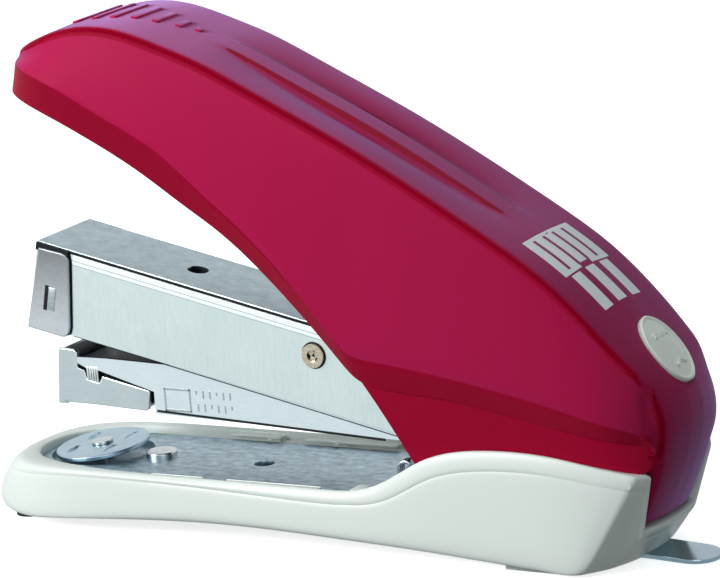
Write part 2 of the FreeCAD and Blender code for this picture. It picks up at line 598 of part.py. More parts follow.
def make_tray_head():
    """The end of the tray: side walls, a nose wall, and a floor with the slot that staples leave by."""
    inner = MAGAZINE_HALF - MAGAZINE_SHEET
    walls = both_sides(magazine_points(HEAD_SIDE), inner, MAGAZINE_HALF)
    nose = magazine_box(0.0, MAGAZINE_SHEET, 0, inner + NOTHING, 0.7, 10.4)
    slot_end = BLADE_BACK + BLADE_THICKNESS
    floor = magazine_box(slot_end, HEAD_LENGTH - 0.4, 0, inner + NOTHING, 0.6, 0.6 + MAGAZINE_SHEET)
    return pitched(joined(walls + nose + floor), MAGAZINE_PITCH)


def make_core_rail():
    """The rail that the staples sit astride; a slot along its top lets the follower's foot through."""
    outer = magazine_box(RAIL_START, RAIL_END, 0, RAIL_HALF, RAIL_BOTTOM, RAIL_TOP)[0]
    inside = magazine_box(RAIL_START + RAIL_SHEET, RAIL_END - RAIL_SHEET, 0, RAIL_HALF - RAIL_SHEET,
                          RAIL_BOTTOM - 1.0, RAIL_TOP - RAIL_SHEET)[0]
    slot = magazine_box(FOLLOWER_START, RAIL_END - 3.0, 0, 1.3, RAIL_TOP - 2.0, RAIL_TOP + 1.0)[0]
    rail = outer.cut(inside).cut(slot)
    rod_start = TRAY_NOSE + RAIL_START
    bore = Part.makeCylinder(ROD_RADIUS, RAIL_END, Vector(rod_start, 0, MAGAZINE_FLOOR + ROD_UP), Vector(1, 0, 0))
    return pitched(rail.cut(bore), MAGAZINE_PITCH)


def make_guide_rod():
    start = TRAY_NOSE + RAIL_START
    rod = Part.makeCylinder(ROD_RADIUS - RUNNING, RAIL_END - RAIL_START,
                            Vector(start, 0, MAGAZINE_FLOOR + ROD_UP), Vector(1, 0, 0))
    return pitched(rod, MAGAZINE_PITCH)


def make_follower():
    """The pusher: a saddle over the rail with a foot that rides on the guide rod."""
    outer_half = MAGAZINE_HALF - MAGAZINE_SHEET - SLIDING
    start = FOLLOWER_START
    end = start + FOLLOWER_LENGTH
    saddle = magazine_box(start, end, 0, outer_half, RAIL_BOTTOM, RAIL_TOP + 1.0)[0]
    astride = magazine_box(start - 1.0, end + 1.0, 0, RAIL_HALF + SLIDING, 0.0, RAIL_TOP + SLIDING)[0]
    foot = magazine_box(start + 1.5, end - 2.0, 0, 1.0, ROD_UP, RAIL_TOP + 0.5)[0]
    ring = Part.makeCylinder(ROD_RADIUS + 0.9, FOLLOWER_LENGTH - 3.5,
                             Vector(TRAY_NOSE + start + 1.5, 0, MAGAZINE_FLOOR + ROD_UP), Vector(1, 0, 0))
    bore = Part.makeCylinder(ROD_RADIUS + RUNNING, REACH, Vector(0, 0, MAGAZINE_FLOOR + ROD_UP), Vector(1, 0, 0))
    return pitched(joined([saddle.cut(astride), foot, ring]).cut(bore), MAGAZINE_PITCH)


def make_follower_spring():
    start = TRAY_NOSE + FOLLOWER_START + FOLLOWER_LENGTH - 2.0 + SLIDING
    end = TRAY_NOSE + RAIL_END - RAIL_SHEET - SLIDING
    spring = coil(ROD_RADIUS + 0.35 + SPRING_WIRE / 2, SPRING_WIRE, 0.0, end - start, 16)
    spring.rotate(Vector(), Vector(0, 1, 0), 90)
    spring.translate(Vector(start, 0, MAGAZINE_FLOOR + ROD_UP))
    return pitched(spring, MAGAZINE_PITCH)


def make_staple_strip():
    """A glued strip of staples astride the rail."""
    half = STAPLE_CROWN / 2
    top = RAIL_TOP + SLIDING + STAPLE_WIRE
    end = RAIL_START + STRIP_LENGTH
    strip = magazine_box(RAIL_START, end, 0, half, top - STAPLE_LEG, top)[0]
    inside = magazine_box(RAIL_START - 1.0, end + 1.0, 0, half - STAPLE_WIRE, 0.0, top - STAPLE_WIRE)[0]
    return pitched(strip.cut(inside), MAGAZINE_PITCH)


# ---- Driver housing, drawn level and then pitched. Back is measured from its nose, down from its top.

def housing_points(points):
    return [(HOUSING_NOSE + back, HOUSING_TOP - down) for back, down in points]


def housing_box(back_low, back_high, half, down_low, down_high):
    return box(HOUSING_NOSE + back_low, HOUSING_NOSE + back_high, -half, half,
               HOUSING_TOP - down_high, HOUSING_TOP - down_low)


def make_driver_housing():
    end = HOUSING_REACH + HOUSING_BEHIND_PIN
    skin = FRONT_PLATE_SHEET + 0.2
    side = [(skin, 0.0), (skin, HOUSING_HEIGHT), (HOUSING_REACH - 7.0, HOUSING_HEIGHT - 0.6),
            (end, HOUSING_HEIGHT - 7.0), (end, 0.0)]
    outer = prism_y(housing_points(side), -HOUSING_HALF, HOUSING_HALF)
    inside = housing_box(skin - 1.0, end + 1.0, HOUSING_HALF - HOUSING_SHEET, HOUSING_SHEET, REACH)
    housing = outer.cut(inside)
    hole_x = HOUSING_NOSE + TOP_HOLE_BACK
    housing = housing.cut(rod_z(hole_x, 0, TOP_HOLE_RADIUS, HOUSING_TOP - 2.0, HOUSING_TOP + 1.0))
    housing = housing.cut(rod_y(HOUSING_NOSE + EYELET_BACK, HOUSING_TOP - EYELET_DOWN,
                                EYELET_RADIUS + RUNNING, -REACH, REACH))
    housing = housing.cut(rod_y(PIN_X, PIN_HEIGHT, PIN_RADIUS + RUNNING, -REACH, REACH))
    return pitched(housing, HOUSING_PITCH)


def make_front_plate():
    """A cap bent round the front of the housing, with a slot struck in each ear."""
    back = FRONT_PLATE_SHEET + 0.2 - RUNNING
    ears = both_sides(housing_points(FRONT_EAR), HOUSING_HALF + RUNNING, HOUSING_HALF + FRONT_PLATE_SHEET)
    face = housing_box(0.0, back, HOUSING_HALF + RUNNING + NOTHING, FRONT_EAR[0][1], FRONT_EAR[-1][1])
    slot = housing_box(FRONT_SLOT_BACK, FRONT_SLOT_BACK + FRONT_SLOT_WIDTH, REACH,
                       FRONT_SLOT_DOWN, FRONT_SLOT_DOWN + FRONT_SLOT_HEIGHT)
    return pitched(joined(ears + [face]).cut(slot), HOUSING_PITCH)


def make_driver_blade():
    """The blade behind the nose of the magazine, hung from a tongue under the housing's top."""
    half = STAPLE_CROWN / 2 - 0.05
    front = HOUSING_REACH - MAGAZINE_REACH + BLADE_BACK - 0.5
    tongue = housing_box(front, TOP_HOLE_BACK + 8.0, half, HOUSING_SHEET + NOTHING,
                         HOUSING_SHEET + BLADE_THICKNESS)
    blade = housing_box(front, front + BLADE_THICKNESS, half, HOUSING_SHEET + NOTHING, HOUSING_HEIGHT - 0.9)
    hole = rod_z(HOUSING_NOSE + TOP_HOLE_BACK, 0, TOP_HOLE_RADIUS, HOUSING_TOP - 3.0, HOUSING_TOP)
    return pitched(joined([tongue, blade]).cut(hole), HOUSING_PITCH)


def make_tube_eyelets():
    """A short tubular rivet in each side of the housing, rolled over on the outside."""
    x = HOUSING_NOSE + EYELET_BACK
    z = HOUSING_TOP - EYELET_DOWN
    eyelets = []
    for side in (1, -1):
        inner = side * (HOUSING_HALF - HOUSING_SHEET)
        face = side * HOUSING_HALF
        outer = side * (HOUSING_HALF + EYELET_FLANGE)
        tube = rod_y(x, z, EYELET_RADIUS, min(inner, outer), max(inner, outer))
        flange = rod_y(x, z, EYELET_FLANGE_RADIUS, min(face, outer), max(face, outer))
        bore = rod_y(x, z, EYELET_BORE, -REACH, REACH)
        eyelets.append(pitched(joined([tube, flange]).cut(bore), HOUSING_PITCH))
    return Part.makeCompound(eyelets)


# ---- Springs at the hinge

def make_lift_spring():
    """A wire spring on the plate that carries the magazine's floor from below."""
    wire = LIFT_WIRE_RADIUS
    eye = LIFT_EYE_RADIUS
    eye_x = PIN_X - LIFT_EYE_AHEAD
    eye_z = PLATE_TOP + LIFT_EYE_ABOVE_PLATE
    tip_x = PIN_X - LIFT_TIP_AHEAD
    tip_z = MAGAZINE_FLOOR + (PIN_X - tip_x) * math.sin(math.radians(MAGAZINE_PITCH)) - wire - SLIDING
    pieces = []
    for side in (1, -1):
        y = side * (EAR_INNER - LIFT_INSET)
        for turn in range(3):
            ring_y = y - side * turn * wire * 1.6
            pieces.append(Part.makeTorus(eye, wire, Vector(eye_x, ring_y, eye_z), Vector(0, 1, 0)))
        foot = Vector(eye_x - LIFT_FOOT, y, PLATE_TOP + wire + SLIDING)
        pieces.append(bar(Vector(eye_x, y, eye_z - eye), foot, wire))
        inner_y = y - side * 2 * wire * 1.6
        pieces.append(bar(Vector(eye_x, inner_y, eye_z + eye), Vector(tip_x, inner_y, tip_z), wire))
    half = EAR_INNER - LIFT_INSET - 2 * wire * 1.6
    pieces.append(rod_y(tip_x, tip_z, wire, -half, half))
    return joined(pieces)


def bar(start, end, radius):
    along = end - start
    return Part.makeCylinder(radius, along.Length, start, along)


def make_return_spring():
    """A leaf riveted to the rear of the housing that holds the handle up off it."""
    slope = math.tan(math.radians(HOUSING_PITCH))

    def housing_skin(x):
        return PIN_HEIGHT + HOUSING_ABOVE_PIN / math.cos(math.radians(HOUSING_PITCH)) + (PIN_X - x) * slope

    rear = PIN_X - RETURN_REAR_AHEAD
    heel = PIN_X - RETURN_HEEL_AHEAD
    tip = PIN_X - RETURN_TIP_AHEAD
    tip_z = bridge_underside(tip) - SLIDING - RETURN_THICKNESS
    low = [(rear, housing_skin(rear) + SLIDING), (heel, housing_skin(heel) + SLIDING), (tip, tip_z)]
    high = [(x, z + RETURN_THICKNESS) for x, z in low]
    return prism_y(low + high[::-1], -RETURN_HALF_WIDTH, RETURN_HALF_WIDTH)


# ---- Handle

def bridge_underside(x):
    """The slope of the bar that lies along the housing's top when the handle is down."""
    pitch = math.radians(HOUSING_PITCH + HANDLE_SWING * (1 - HOUSING_SHARE))
    return PIN_HEIGHT + (HOUSING_ABOVE_PIN + PRESS_GAP) / math.cos(pitch) + (PIN_X - x) * math.tan(pitch)


def make_handle_frame():
    """A pressed steel bow inside the handle: two arms from the pin, joined by a press bar."""
    front = PIN_X - BRIDGE_FRONT_AHEAD
    rear = PIN_X - BRIDGE_REAR_AHEAD
    arm = [(front, bridge_underside(front)), (rear, bridge_underside(rear)),
           (PIN_X - 6.0, PIN_HEIGHT + 2.0), (PIN_X, PIN_HEIGHT - 3.0), (PIN_X + 3.4, PIN_HEIGHT + 3.0),
           (PIN_X - 2.0, PIN_HEIGHT + 9.0), (front, bridge_underside(front) + 7.0)]
    arms = both_sides(arm, FRAME_INNER, FRAME_OUTER)
    for y_low in (FRAME_INNER, -FRAME_OUTER):
        arms.append(rod_y(PIN_X, PIN_HEIGHT, LUG_RADIUS, y_low, y_low + FRAME_SHEET))
    bar_side = [(front, bridge_underside(front)), (rear, bridge_underside(rear)),
                (rear, bridge_underside(rear) + FRAME_SHEET), (front, bridge_underside(front) + FRAME_SHEET)]
    bridge = prism_y(bar_side, -FRAME_INNER - NOTHING, FRAME_INNER + NOTHING)
    frame = joined(arms + [bridge])
    return frame.cut(rod_y(PIN_X, PIN_HEIGHT, PIN_RADIUS + RUNNING, -REACH, REACH))


def lengthwise(x):
    """Where a place on the handle's drawing lies."""
    if x > PIN_DRAWN:
        return behind_pin(x - PIN_DRAWN)
    nose = STATIONS[0]
    return nose + (x - nose) * (PIN_X - nose) / (PIN_DRAWN - nose)


def upright(z):
    """The height of a place on the handle's drawing."""
    return z + PIN_HEIGHT - PIN_HEIGHT_DRAWN


def handle_section(x, wall):
    """The shell's outline at one station; a wall above 0 gives the line of its inside."""
    low_half = HANDLE_HALF_WIDTH - on_line(LOWER_INSET, x) - wall
    crease_half = HANDLE_HALF_WIDTH - on_line(CREASE_INSET, x) - wall
    crest_half = HANDLE_HALF_WIDTH - on_line(CREST_INSET, x) - wall * 0.7
    low = upright(on_line(LOWER_EDGE, x)) - wall
    crease = upright(on_line(CREASE, x)) - wall * 0.2
    crest = upright(on_line(CREST, x)) - wall * 1.3
    shoulder = (crest - crease) * 0.12
    half = [(low_half, low), (crease_half, crease), (crest_half + 0.5, crest - shoulder),
            (crest_half - 0.9, crest)]
    place = lengthwise(x)
    points = [Vector(place, y, z) for y, z in half] + [Vector(place, -y, z) for y, z in half[::-1]]
    return Part.makePolygon(points + points[:1])


def handle_collar(wall):
    """The plain band below the shell's rear edge, which follows the stern round."""
    outer = SKIRT_HALF_WIDTH
    half = [(PIN_X - 0.5 - wall, outer - wall), (behind_pin(20.0), outer - 0.4 - wall),
            (behind_pin(26.3) - wall * 0.5, outer - 3.4 - wall * 0.7),
            (behind_pin(29.6) - wall, outer - 6.6 - wall * 0.5)]
    points = [Vector(x, y, COLLAR_BOTTOM) for x, y in half] + [Vector(x, -y, COLLAR_BOTTOM) for x, y in half[::-1]]
    return Part.Face(Part.makePolygon(points + points[:1])).extrude(Vector(0, 0, 5.2))


def make_handle_shell():
    outside = Part.makeLoft([handle_section(x, 0.0) for x in STATIONS], True, True)
    inner_stations = [STATIONS[0] + HANDLE_WALL] + [x for x in STATIONS[3:-2]] + [STATIONS[-1] - 3.4]
    inside = Part.makeLoft([handle_section(x, HANDLE_WALL) for x in inner_stations], True, True)

    # Skirts that go down inside the cheeks of the base.
    skirt = [(PIN_X - 28.5, upright(33.0)), (PIN_X - 26.0, upright(29.9)), (PIN_X - 21.8, upright(23.7)),
             (PIN_X - 19.0, upright(19.1)), (PIN_X - 14.0, SKIRT_BOTTOM + 0.5), (PIN_X, SKIRT_BOTTOM),
             (PIN_X + 1.5, COLLAR_BOTTOM), (PIN_X + 1.5, upright(31.0)), (PIN_X - 14.0, upright(33.4)),
             (PIN_X - 28.5, upright(35.0))]
    skirts = both_sides(skirt, SKIRT_HALF_WIDTH - SKIRT_WALL, SKIRT_HALF_WIDTH)
    collar = handle_collar(0.0).cut(handle_collar(HANDLE_WALL))
    lugs = []
    lug_outer = SKIRT_HALF_WIDTH - LUG_SINK
    for y_low, y_high in ((FRAME_OUTER + RUNNING, lug_outer), (-lug_outer, -FRAME_OUTER - RUNNING)):
        lugs.append(rod_y(PIN_X, PIN_HEIGHT, LUG_RADIUS, y_low, y_high))
        lugs.append(box(PIN_X - LUG_RADIUS, PIN_X + LUG_RADIUS, y_low, y_high, PIN_HEIGHT,
                        PIN_HEIGHT + LUG_TOP_ABOVE_PIN))

    # The tail, which closes the stern between the cheeks, is open towards the hinge.
    tail = prism_y([(behind_pin(back), z) for back, z in TAIL_SIDE], -BLOCK_HALF_WIDTH, BLOCK_HALF_WIDTH)
    wall = BLOCK_WALL
    toe, calf, hip, top = [(behind_pin(back), z) for back, z in TAIL_SIDE[2:]]
    front = behind_pin(12.0)
    tail_inside = [(front, 50.0), (front, 9.3 + wall), (toe[0] - wall * 0.8, toe[1] + wall),
                   (calf[0] - wall, calf[1]), (hip[0] - wall, hip[1]), (top[0] - wall * 1.2, top[1] + 0.5),
                   (behind_pin(25.0), 34.0)]
    tail_inside = prism_y(tail_inside, -BLOCK_HALF_WIDTH + wall, BLOCK_HALF_WIDTH - wall)

    shell = outside.cut(inside)
    shell = joined([shell, collar] + skirts + lugs + [tail.cut(tail_inside)])
    shell = shell.cut(tail_inside.common(inside.fuse(tail)))
    shell = joined([shell, button_shelf().common(outside)])
    shell = shell.cut(button_hole())
    bore_end = SKIRT_HALF_WIDTH - PIN_COVER + SLIDING
    return shell.cut(rod_y(PIN_X, PIN_HEIGHT, PIN_RADIUS + RUNNING, -bore_end, bore_end))


# ---- Release button, drawn upright at the origin and then set into the deck above the stern

def in_deck(shape):
    """From upright at the origin to its place in the deck, facing up and towards the stern."""
    placed = shape.copy()
    placed.rotate(Vector(), Vector(0, 1, 0), BUTTON_LEAN)
    placed.translate(Vector(behind_pin(BUTTON_BEHIND_PIN), 0, PIN_HEIGHT + BUTTON_ABOVE_PIN))
    return placed


def oval(margin, low, high):
    """An oval column, longer along the slope of the deck than across it."""
    plan = Part.Ellipse(Vector(0, 0, low), BUTTON_HALF_LENGTH + margin, BUTTON_HALF_WIDTH + margin)
    return Part.Face(Part.Wire(plan.toShape())).extrude(Vector(0, 0, high - low))


def button_hole():
    return in_deck(oval(SEAT, -BUTTON_DEPTH, 6.0))


def button_shelf():
    length = BUTTON_HALF_LENGTH + 1.5
    width = BUTTON_HALF_WIDTH + 3.2
    return in_deck(box(-length, length, -width, width, -SHELF_DEPTH - SHELF_THICKNESS, -SHELF_DEPTH))


def make_release_button():
    cap = oval(0.0, -BUTTON_DEPTH, BUTTON_PROUD)
    stem = rod_z(0, 0, BUTTON_STEM_RADIUS, -SHELF_DEPTH + BUTTON_TRAVEL + SWING, -BUTTON_DEPTH + NOTHING)
    return in_deck(joined([cap, stem]))


def make_button_spring():
    spring = coil(2.6, SPRING_WIRE, -SHELF_DEPTH + SLIDING, -BUTTON_DEPTH - SLIDING, 3)
    return in_deck(spring)


def make_release_latch():
    """A hooked plate behind the tray; it drops a little when the button is pressed."""
    half = MAGAZINE_HALF - MAGAZINE_SHEET - SEAT
    floor = MAGAZINE_SHEET + SEAT
    start = MAGAZINE_REACH + PIN_RADIUS + LATCH_BEHIND_PIN
    top = MAGAZINE_HEIGHT + LATCH_HEAD
    plate = magazine_box(start, start + LATCH_THICKNESS, 0, half, floor + LATCH_TRAVEL, top)[0]
    tongue = magazine_box(start, start + LATCH_TONGUE, 0, half - 2.0, top - 2 * LATCH_HEAD, top)[0]
    return pitched(joined([plate, tongue]), MAGAZINE_PITCH)


PARTS = {
    "base_shell": make_base_shell,
    "base_plate": make_base_plate,
    "plate_rivets": make_plate_rivets,
    "plate_clips": make_plate_clips,
    "front_foot": make_front_foot,
    "rear_feet": lambda: Part.makeCompound(rear_feet()),
    "staple_remover": make_staple_remover,
    "remover_rivet": make_remover_rivet,
    "hinge_pin": make_hinge_pin,
    "lift_spring": make_lift_spring,
    "anvil_disc": make_anvil_disc,
    "anvil_spindle": make_anvil_spindle,
    "anvil_spring": make_anvil_spring,
    "magazine_channel": make_magazine_channel,
    "release_latch": make_release_latch,
    "tray_head": make_tray_head,
    "core_rail": make_core_rail,
    "guide_rod": make_guide_rod,
    "staple_strip": make_staple_strip,
    "follower": make_follower,
    "follower_spring": make_follower_spring,
    "driver_housing": make_driver_housing,
    "front_plate": make_front_plate,
    "driver_blade": make_driver_blade,
    "tube_eyelets": make_tube_eyelets,
    "return_spring": make_return_spring,
    "handle_frame": make_handle_frame,
    "handle_shell": make_handle_shell,
    "release_button": make_release_button,
    "button_spring": make_button_spring,
}

os.makedirs("parts", exist_ok=True)
for part_name, make in PARTS.items():
    export(part_name, make())
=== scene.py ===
import json
import math

import bmesh
import bpy
from mathutils import Matrix, Vector
from mathutils.bvhtree import BVHTree


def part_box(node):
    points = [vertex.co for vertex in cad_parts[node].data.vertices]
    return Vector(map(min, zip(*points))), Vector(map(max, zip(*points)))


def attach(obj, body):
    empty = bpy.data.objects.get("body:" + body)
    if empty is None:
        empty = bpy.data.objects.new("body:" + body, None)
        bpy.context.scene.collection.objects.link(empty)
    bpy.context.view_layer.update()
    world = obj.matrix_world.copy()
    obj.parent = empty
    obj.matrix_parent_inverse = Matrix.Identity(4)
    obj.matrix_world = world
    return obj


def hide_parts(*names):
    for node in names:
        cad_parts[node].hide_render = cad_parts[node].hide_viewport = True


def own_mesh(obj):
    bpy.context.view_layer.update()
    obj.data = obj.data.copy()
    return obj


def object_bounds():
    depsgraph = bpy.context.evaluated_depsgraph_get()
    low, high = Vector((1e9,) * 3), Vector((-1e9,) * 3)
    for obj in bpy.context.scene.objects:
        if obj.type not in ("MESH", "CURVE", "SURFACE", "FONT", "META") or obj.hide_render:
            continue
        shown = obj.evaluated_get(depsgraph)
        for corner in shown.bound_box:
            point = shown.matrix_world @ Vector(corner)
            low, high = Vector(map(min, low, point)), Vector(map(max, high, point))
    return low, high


# A desk stapler standing open. Sizes are in millimetres; X is measured from the nose of the
# base towards the stern, +Y to the left and +Z up, as in the part's own drawing.
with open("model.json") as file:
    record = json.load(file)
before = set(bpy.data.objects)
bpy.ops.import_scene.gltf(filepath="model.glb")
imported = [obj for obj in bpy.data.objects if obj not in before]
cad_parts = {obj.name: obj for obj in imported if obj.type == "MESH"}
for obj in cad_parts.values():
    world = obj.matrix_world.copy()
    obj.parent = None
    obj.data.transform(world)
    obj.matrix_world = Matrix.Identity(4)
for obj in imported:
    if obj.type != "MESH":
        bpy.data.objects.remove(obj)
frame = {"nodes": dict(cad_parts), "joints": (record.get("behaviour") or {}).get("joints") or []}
cad_low, cad_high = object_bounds()
nodes = frame["nodes"]
MM = 0.001
NOSE = cad_low.x


def metres(x, y, z):
    """A point of the frame from its distance behind the nose, its side and its height."""
    return Vector((NOSE + x * MM, y * MM, z * MM))


def millimetres(point):
    return Vector(((point.x - NOSE) / MM, point.y / MM, point.z / MM))


# ---- Places that follow from the frame
hinge = next(joint for joint in frame["joints"] if joint["name"] == "handle_hinge")
PIN = millimetres(Vector(hinge["pos_m"]))
RIVET_TOP = millimetres(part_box("plate_rivets")[1]).z
# The rivet heads stand 1 mm above the plate.
PLATE_TOP = RIVET_TOP - 1.0

# ---- The magazine and the housing, which lie at a pitch about the pin
MAGAZINE_PITCH = math.radians(1.8)
MAGAZINE_REACH = 97.5
MAGAZINE_BELOW_PIN = 6.9
MAGAZINE_HALF = 7.5
HOUSING_PITCH = math.radians(12.2)
HOUSING_REACH = 103.4
HOUSING_ABOVE_PIN = 5.8
HOUSING_HEIGHT = 16.2
HOUSING_HALF = 8.5

# ---- Camera
VIEW_TARGET = metres(82.1, 0.0, 45.2)
VIEW_AZIMUTH = math.radians(31.80)
VIEW_ELEVATION = math.radians(13.485)
VIEW_ROLL = math.radians(-4.934)
VIEW_DISTANCE = 0.8932
VIEW_LENS = 250.47
VIEW_SENSOR = 36.0


# ---- Ways of making meshes

INTO_FRAME = Matrix.Translation((NOSE, 0, 0)) @ Matrix.Scale(MM, 4)
# Faces larger than this, in square millimetres, are flat on the real thing and stay unsmoothed.
LARGE_FACE = 30.0


def make_object(form, name):
    """Turns a bmesh in millimetres into an object in the frame."""
    bmesh.ops.transform(form, matrix=INTO_FRAME, verts=form.verts)
    mesh = bpy.data.meshes.new(name)
    form.to_mesh(mesh)
    form.free()
    made = bpy.data.objects.new(name, mesh)
    bpy.context.scene.collection.objects.link(made)
    return made


def add_piece(form, name, body, material, replaced=(), smooth_degrees=35.0):
    """Turns a bmesh in millimetres into a finished object that rides on a body."""
    piece = make_object(form, name)
    piece.data.shade_smooth()
    piece.data.set_sharp_from_angle(angle=math.radians(smooth_degrees))
    piece.data.materials.append(material)
    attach(piece, body)
    if replaced:
        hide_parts(*replaced)
    return piece


def across(side, outer, inner):
    """The lower and the higher y of a strip between two half widths, on one side of the stapler."""
    return sorted((side * outer, side * inner))


def place_new(form, before, matrix):
    """Moves the vertices that were added since the others were noted."""
    bmesh.ops.transform(form, matrix=matrix, verts=[vert for vert in form.verts if vert not in before])


def start_chain(form, points):
    verts = [form.verts.new(point) for point in points]
    for pair in zip(verts, verts[1:]):
        form.edges.new(pair)
    return verts


def sweep(form, sections):
    """Extrudes a chain of edges from section to section; returns the rows of vertices."""
    row = start_chain(form, sections[0])
    rows = [row]
    for points in sections[1:]:
        edges = [form.edges.get(pair) for pair in zip(row, row[1:])]
        made = bmesh.ops.extrude_edge_only(form, edges=edges)["geom"]
        fresh = {item for item in made if isinstance(item, bmesh.types.BMVert)}
        row = [next(edge.other_vert(old) for edge in old.link_edges if edge.other_vert(old) in fresh)
               for old in row]
        for vert, point in zip(row, points):
            vert.co = point
        rows.append(row)
    return rows


def crease_edges(form, pairs, weight):
    layer = form.edges.layers.float.get("crease_edge") or form.edges.layers.float.new("crease_edge")
    for pair in pairs:
        edge = form.edges.get(pair)
        if edge is not None:
            edge[layer] = weight


def crease_line(form, rows, column, weight):
    """A crease that runs through every row at one place of the section."""
    crease_edges(form, [(low[column], high[column]) for low, high in zip(rows, rows[1:])], weight)


def mirror_across(form):
    """The other half, joined along the middle."""
    half = form.verts[:] + form.edges[:] + form.faces[:]
    bmesh.ops.mirror(form, geom=half, axis="Y", merge_dist=0.01)


def settle(form):
    """Merges doubles and turns the faces outwards."""
    bmesh.ops.remove_doubles(form, verts=form.verts, dist=0.005)
    bmesh.ops.recalc_face_normals(form, faces=form.faces)


def finish_mesh(piece, most_corners=5):
    """Gives the piece the mesh that its modifiers make; its true edges and large flat faces stay sharp."""
    evaluated = piece.evaluated_get(bpy.context.evaluated_depsgraph_get())
    mesh = bpy.data.meshes.new_from_object(evaluated)
    piece.modifiers.clear()
    piece.data = mesh
    mesh.shade_smooth()
    mesh.set_sharp_from_angle(angle=math.radians(32.0))
    for face in mesh.polygons:
        face.use_smooth = len(face.vertices) <= most_corners and face.area < LARGE_FACE * MM ** 2


def add_block(form, low, high, ease=0.0, segments=2):
    """A box between two corners, its edges rounded where ease is above 0."""
    low = Vector(low)
    high = Vector(high)
    size = Matrix.Diagonal((high - low).to_4d())
    size[3][3] = 1.0
    place = Matrix.Translation((low + high) / 2) @ size
    verts = bmesh.ops.create_cube(form, size=1.0, matrix=place)["verts"]
    if ease > 0:
        edges = list({edge for vert in verts for edge in vert.link_edges})
        bmesh.ops.bevel(form, geom=edges, offset=ease, affect="EDGES", segments=segments,
                        profile=0.5, material=-1)


def add_plate(form, outline, y_low, y_high):
    """A side view, as (x, z) points, given thickness across the stapler."""
    face = form.faces.new([form.verts.new((x, y_low, z)) for x, z in outline])
    made = bmesh.ops.extrude_face_region(form, geom=[face])["geom"]
    verts = [item for item in made if isinstance(item, bmesh.types.BMVert)]
    bmesh.ops.translate(form, verts=verts, vec=(0, y_high - y_low, 0))


def pitched_place(angle, ahead, above):
    """The place of a drawing whose origin lies ahead of and above the pin before it is pitched."""
    pitch = Matrix.Rotation(angle, 4, "Y")
    return Matrix.Translation(PIN) @ pitch @ Matrix.Translation((-ahead, 0.0, above))


def paint_faces(piece, material, place, chosen):
    """A second material for the faces whose centre and normal, in a drawing's own axes, are chosen."""
    piece.data.materials.append(material)
    index = len(piece.data.materials) - 1
    back = place.inverted()
    for face in piece.data.polygons:
        if chosen(back @ millimetres(face.center), back.to_3x3() @ face.normal):
            face.material_index = index


def add_subdivision(piece, levels):
    modifier = piece.modifiers.new("round", "SUBSURF")
    modifier.levels = levels
    modifier.render_levels = levels


def add_wall(piece, thickness):
    modifier = piece.modifiers.new("wall", "SOLIDIFY")
    modifier.thickness = thickness * MM
    modifier.offset = -1.0


def add_bevel(piece, width, segments=2):
    modifier = piece.modifiers.new("edges", "BEVEL")
    modifier.width = width * MM
    modifier.segments = segments
    modifier.limit_method = "ANGLE"
    modifier.angle_limit = math.radians(30.0)
    modifier.harden_normals = False


def on_line(line, x):
    """The value at x of a smooth curve through (x, value) points."""
    if x <= line[0][0]:
        return line[0][1]
    if x > line[-1][0]:
        return line[-1][1]
    index = next(place for place, point in enumerate(line[1:]) if x <= point[0])
    before = line[max(index - 1, 0)]
    start, end = line[index], line[index + 1]
    after = line[min(index + 2, len(line) - 1)]
    span = end[0] - start[0]
    slope_in = (end[1] - before[1]) / (end[0] - before[0])
    slope_out = (after[1] - start[1]) / (after[0] - start[0])
    t = (x - start[0]) / span
    return ((2 * t ** 3 - 3 * t ** 2 + 1) * start[1] + (t ** 3 - 2 * t ** 2 + t) * span * slope_in
            + (3 * t ** 2 - 2 * t ** 3) * end[1] + (t ** 3 - t ** 2) * span * slope_out)


def from_cad(node):
    """A copy of a CAD node's mesh in millimetres, merged and freed of its flat triangles."""
    form = bmesh.new()
    form.from_mesh(nodes[node].data)
    bmesh.ops.transform(form, matrix=Matrix.Scale(1 / MM, 4) @ Matrix.Translation((-NOSE, 0, 0)),
                        verts=form.verts)
    bmesh.ops.remove_doubles(form, verts=form.verts, dist=0.003)
    bmesh.ops.dissolve_limit(form, angle_limit=math.radians(1.0), verts=form.verts, edges=form.edges)
    return form


def rounded_copy(node, body, material, width):
    """A CAD node's own shape with its sharp edges eased, which stands for the node."""
    piece = add_piece(from_cad(node), node + "_eased", body, material, [node])
    add_bevel(piece, width)
    finish_mesh(piece)
    return piece


def sprung_copy(node, body):
    """A CAD spring's own shape, in a mesh of its own, which stands for the node."""
    piece = add_piece(from_cad(node), node + "_wire", body, BRIGHT_STEEL, [node])
    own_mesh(piece)


# ---- Materials

def linear(hex_colour):
    """An sRGB hex value as linear RGBA."""
    channels = [int(hex_colour[i:i + 2], 16) / 255 for i in (1, 3, 5)]
    return [c / 12.92 if c <= 0.04045 else ((c + 0.055) / 1.055) ** 2.4 for c in channels] + [1.0]


def add_node(tree, kind, settings=None, links=None):
    """Adds a node, sets its sockets or properties, and links its inputs."""
    node = tree.nodes.new(kind)
    for name, value in (settings or {}).items():
        if isinstance(name, int) or name in node.inputs:
            node.inputs[name].default_value = value
        else:
            setattr(node, name, value)
    for name, source in (links or {}).items():
        tree.links.new(source, node.inputs[name])
    return node


def new_material(name, settings):
    """An empty material with one surface shader; returns it, its tree and the shader."""
    material = bpy.data.materials.new(name)
    material.use_nodes = True
    tree = material.node_tree
    tree.nodes.clear()
    shader = add_node(tree, "ShaderNodeBsdfPrincipled", settings)
    add_node(tree, "ShaderNodeOutputMaterial", links={"Surface": shader.outputs["BSDF"]})
    return material, tree, shader


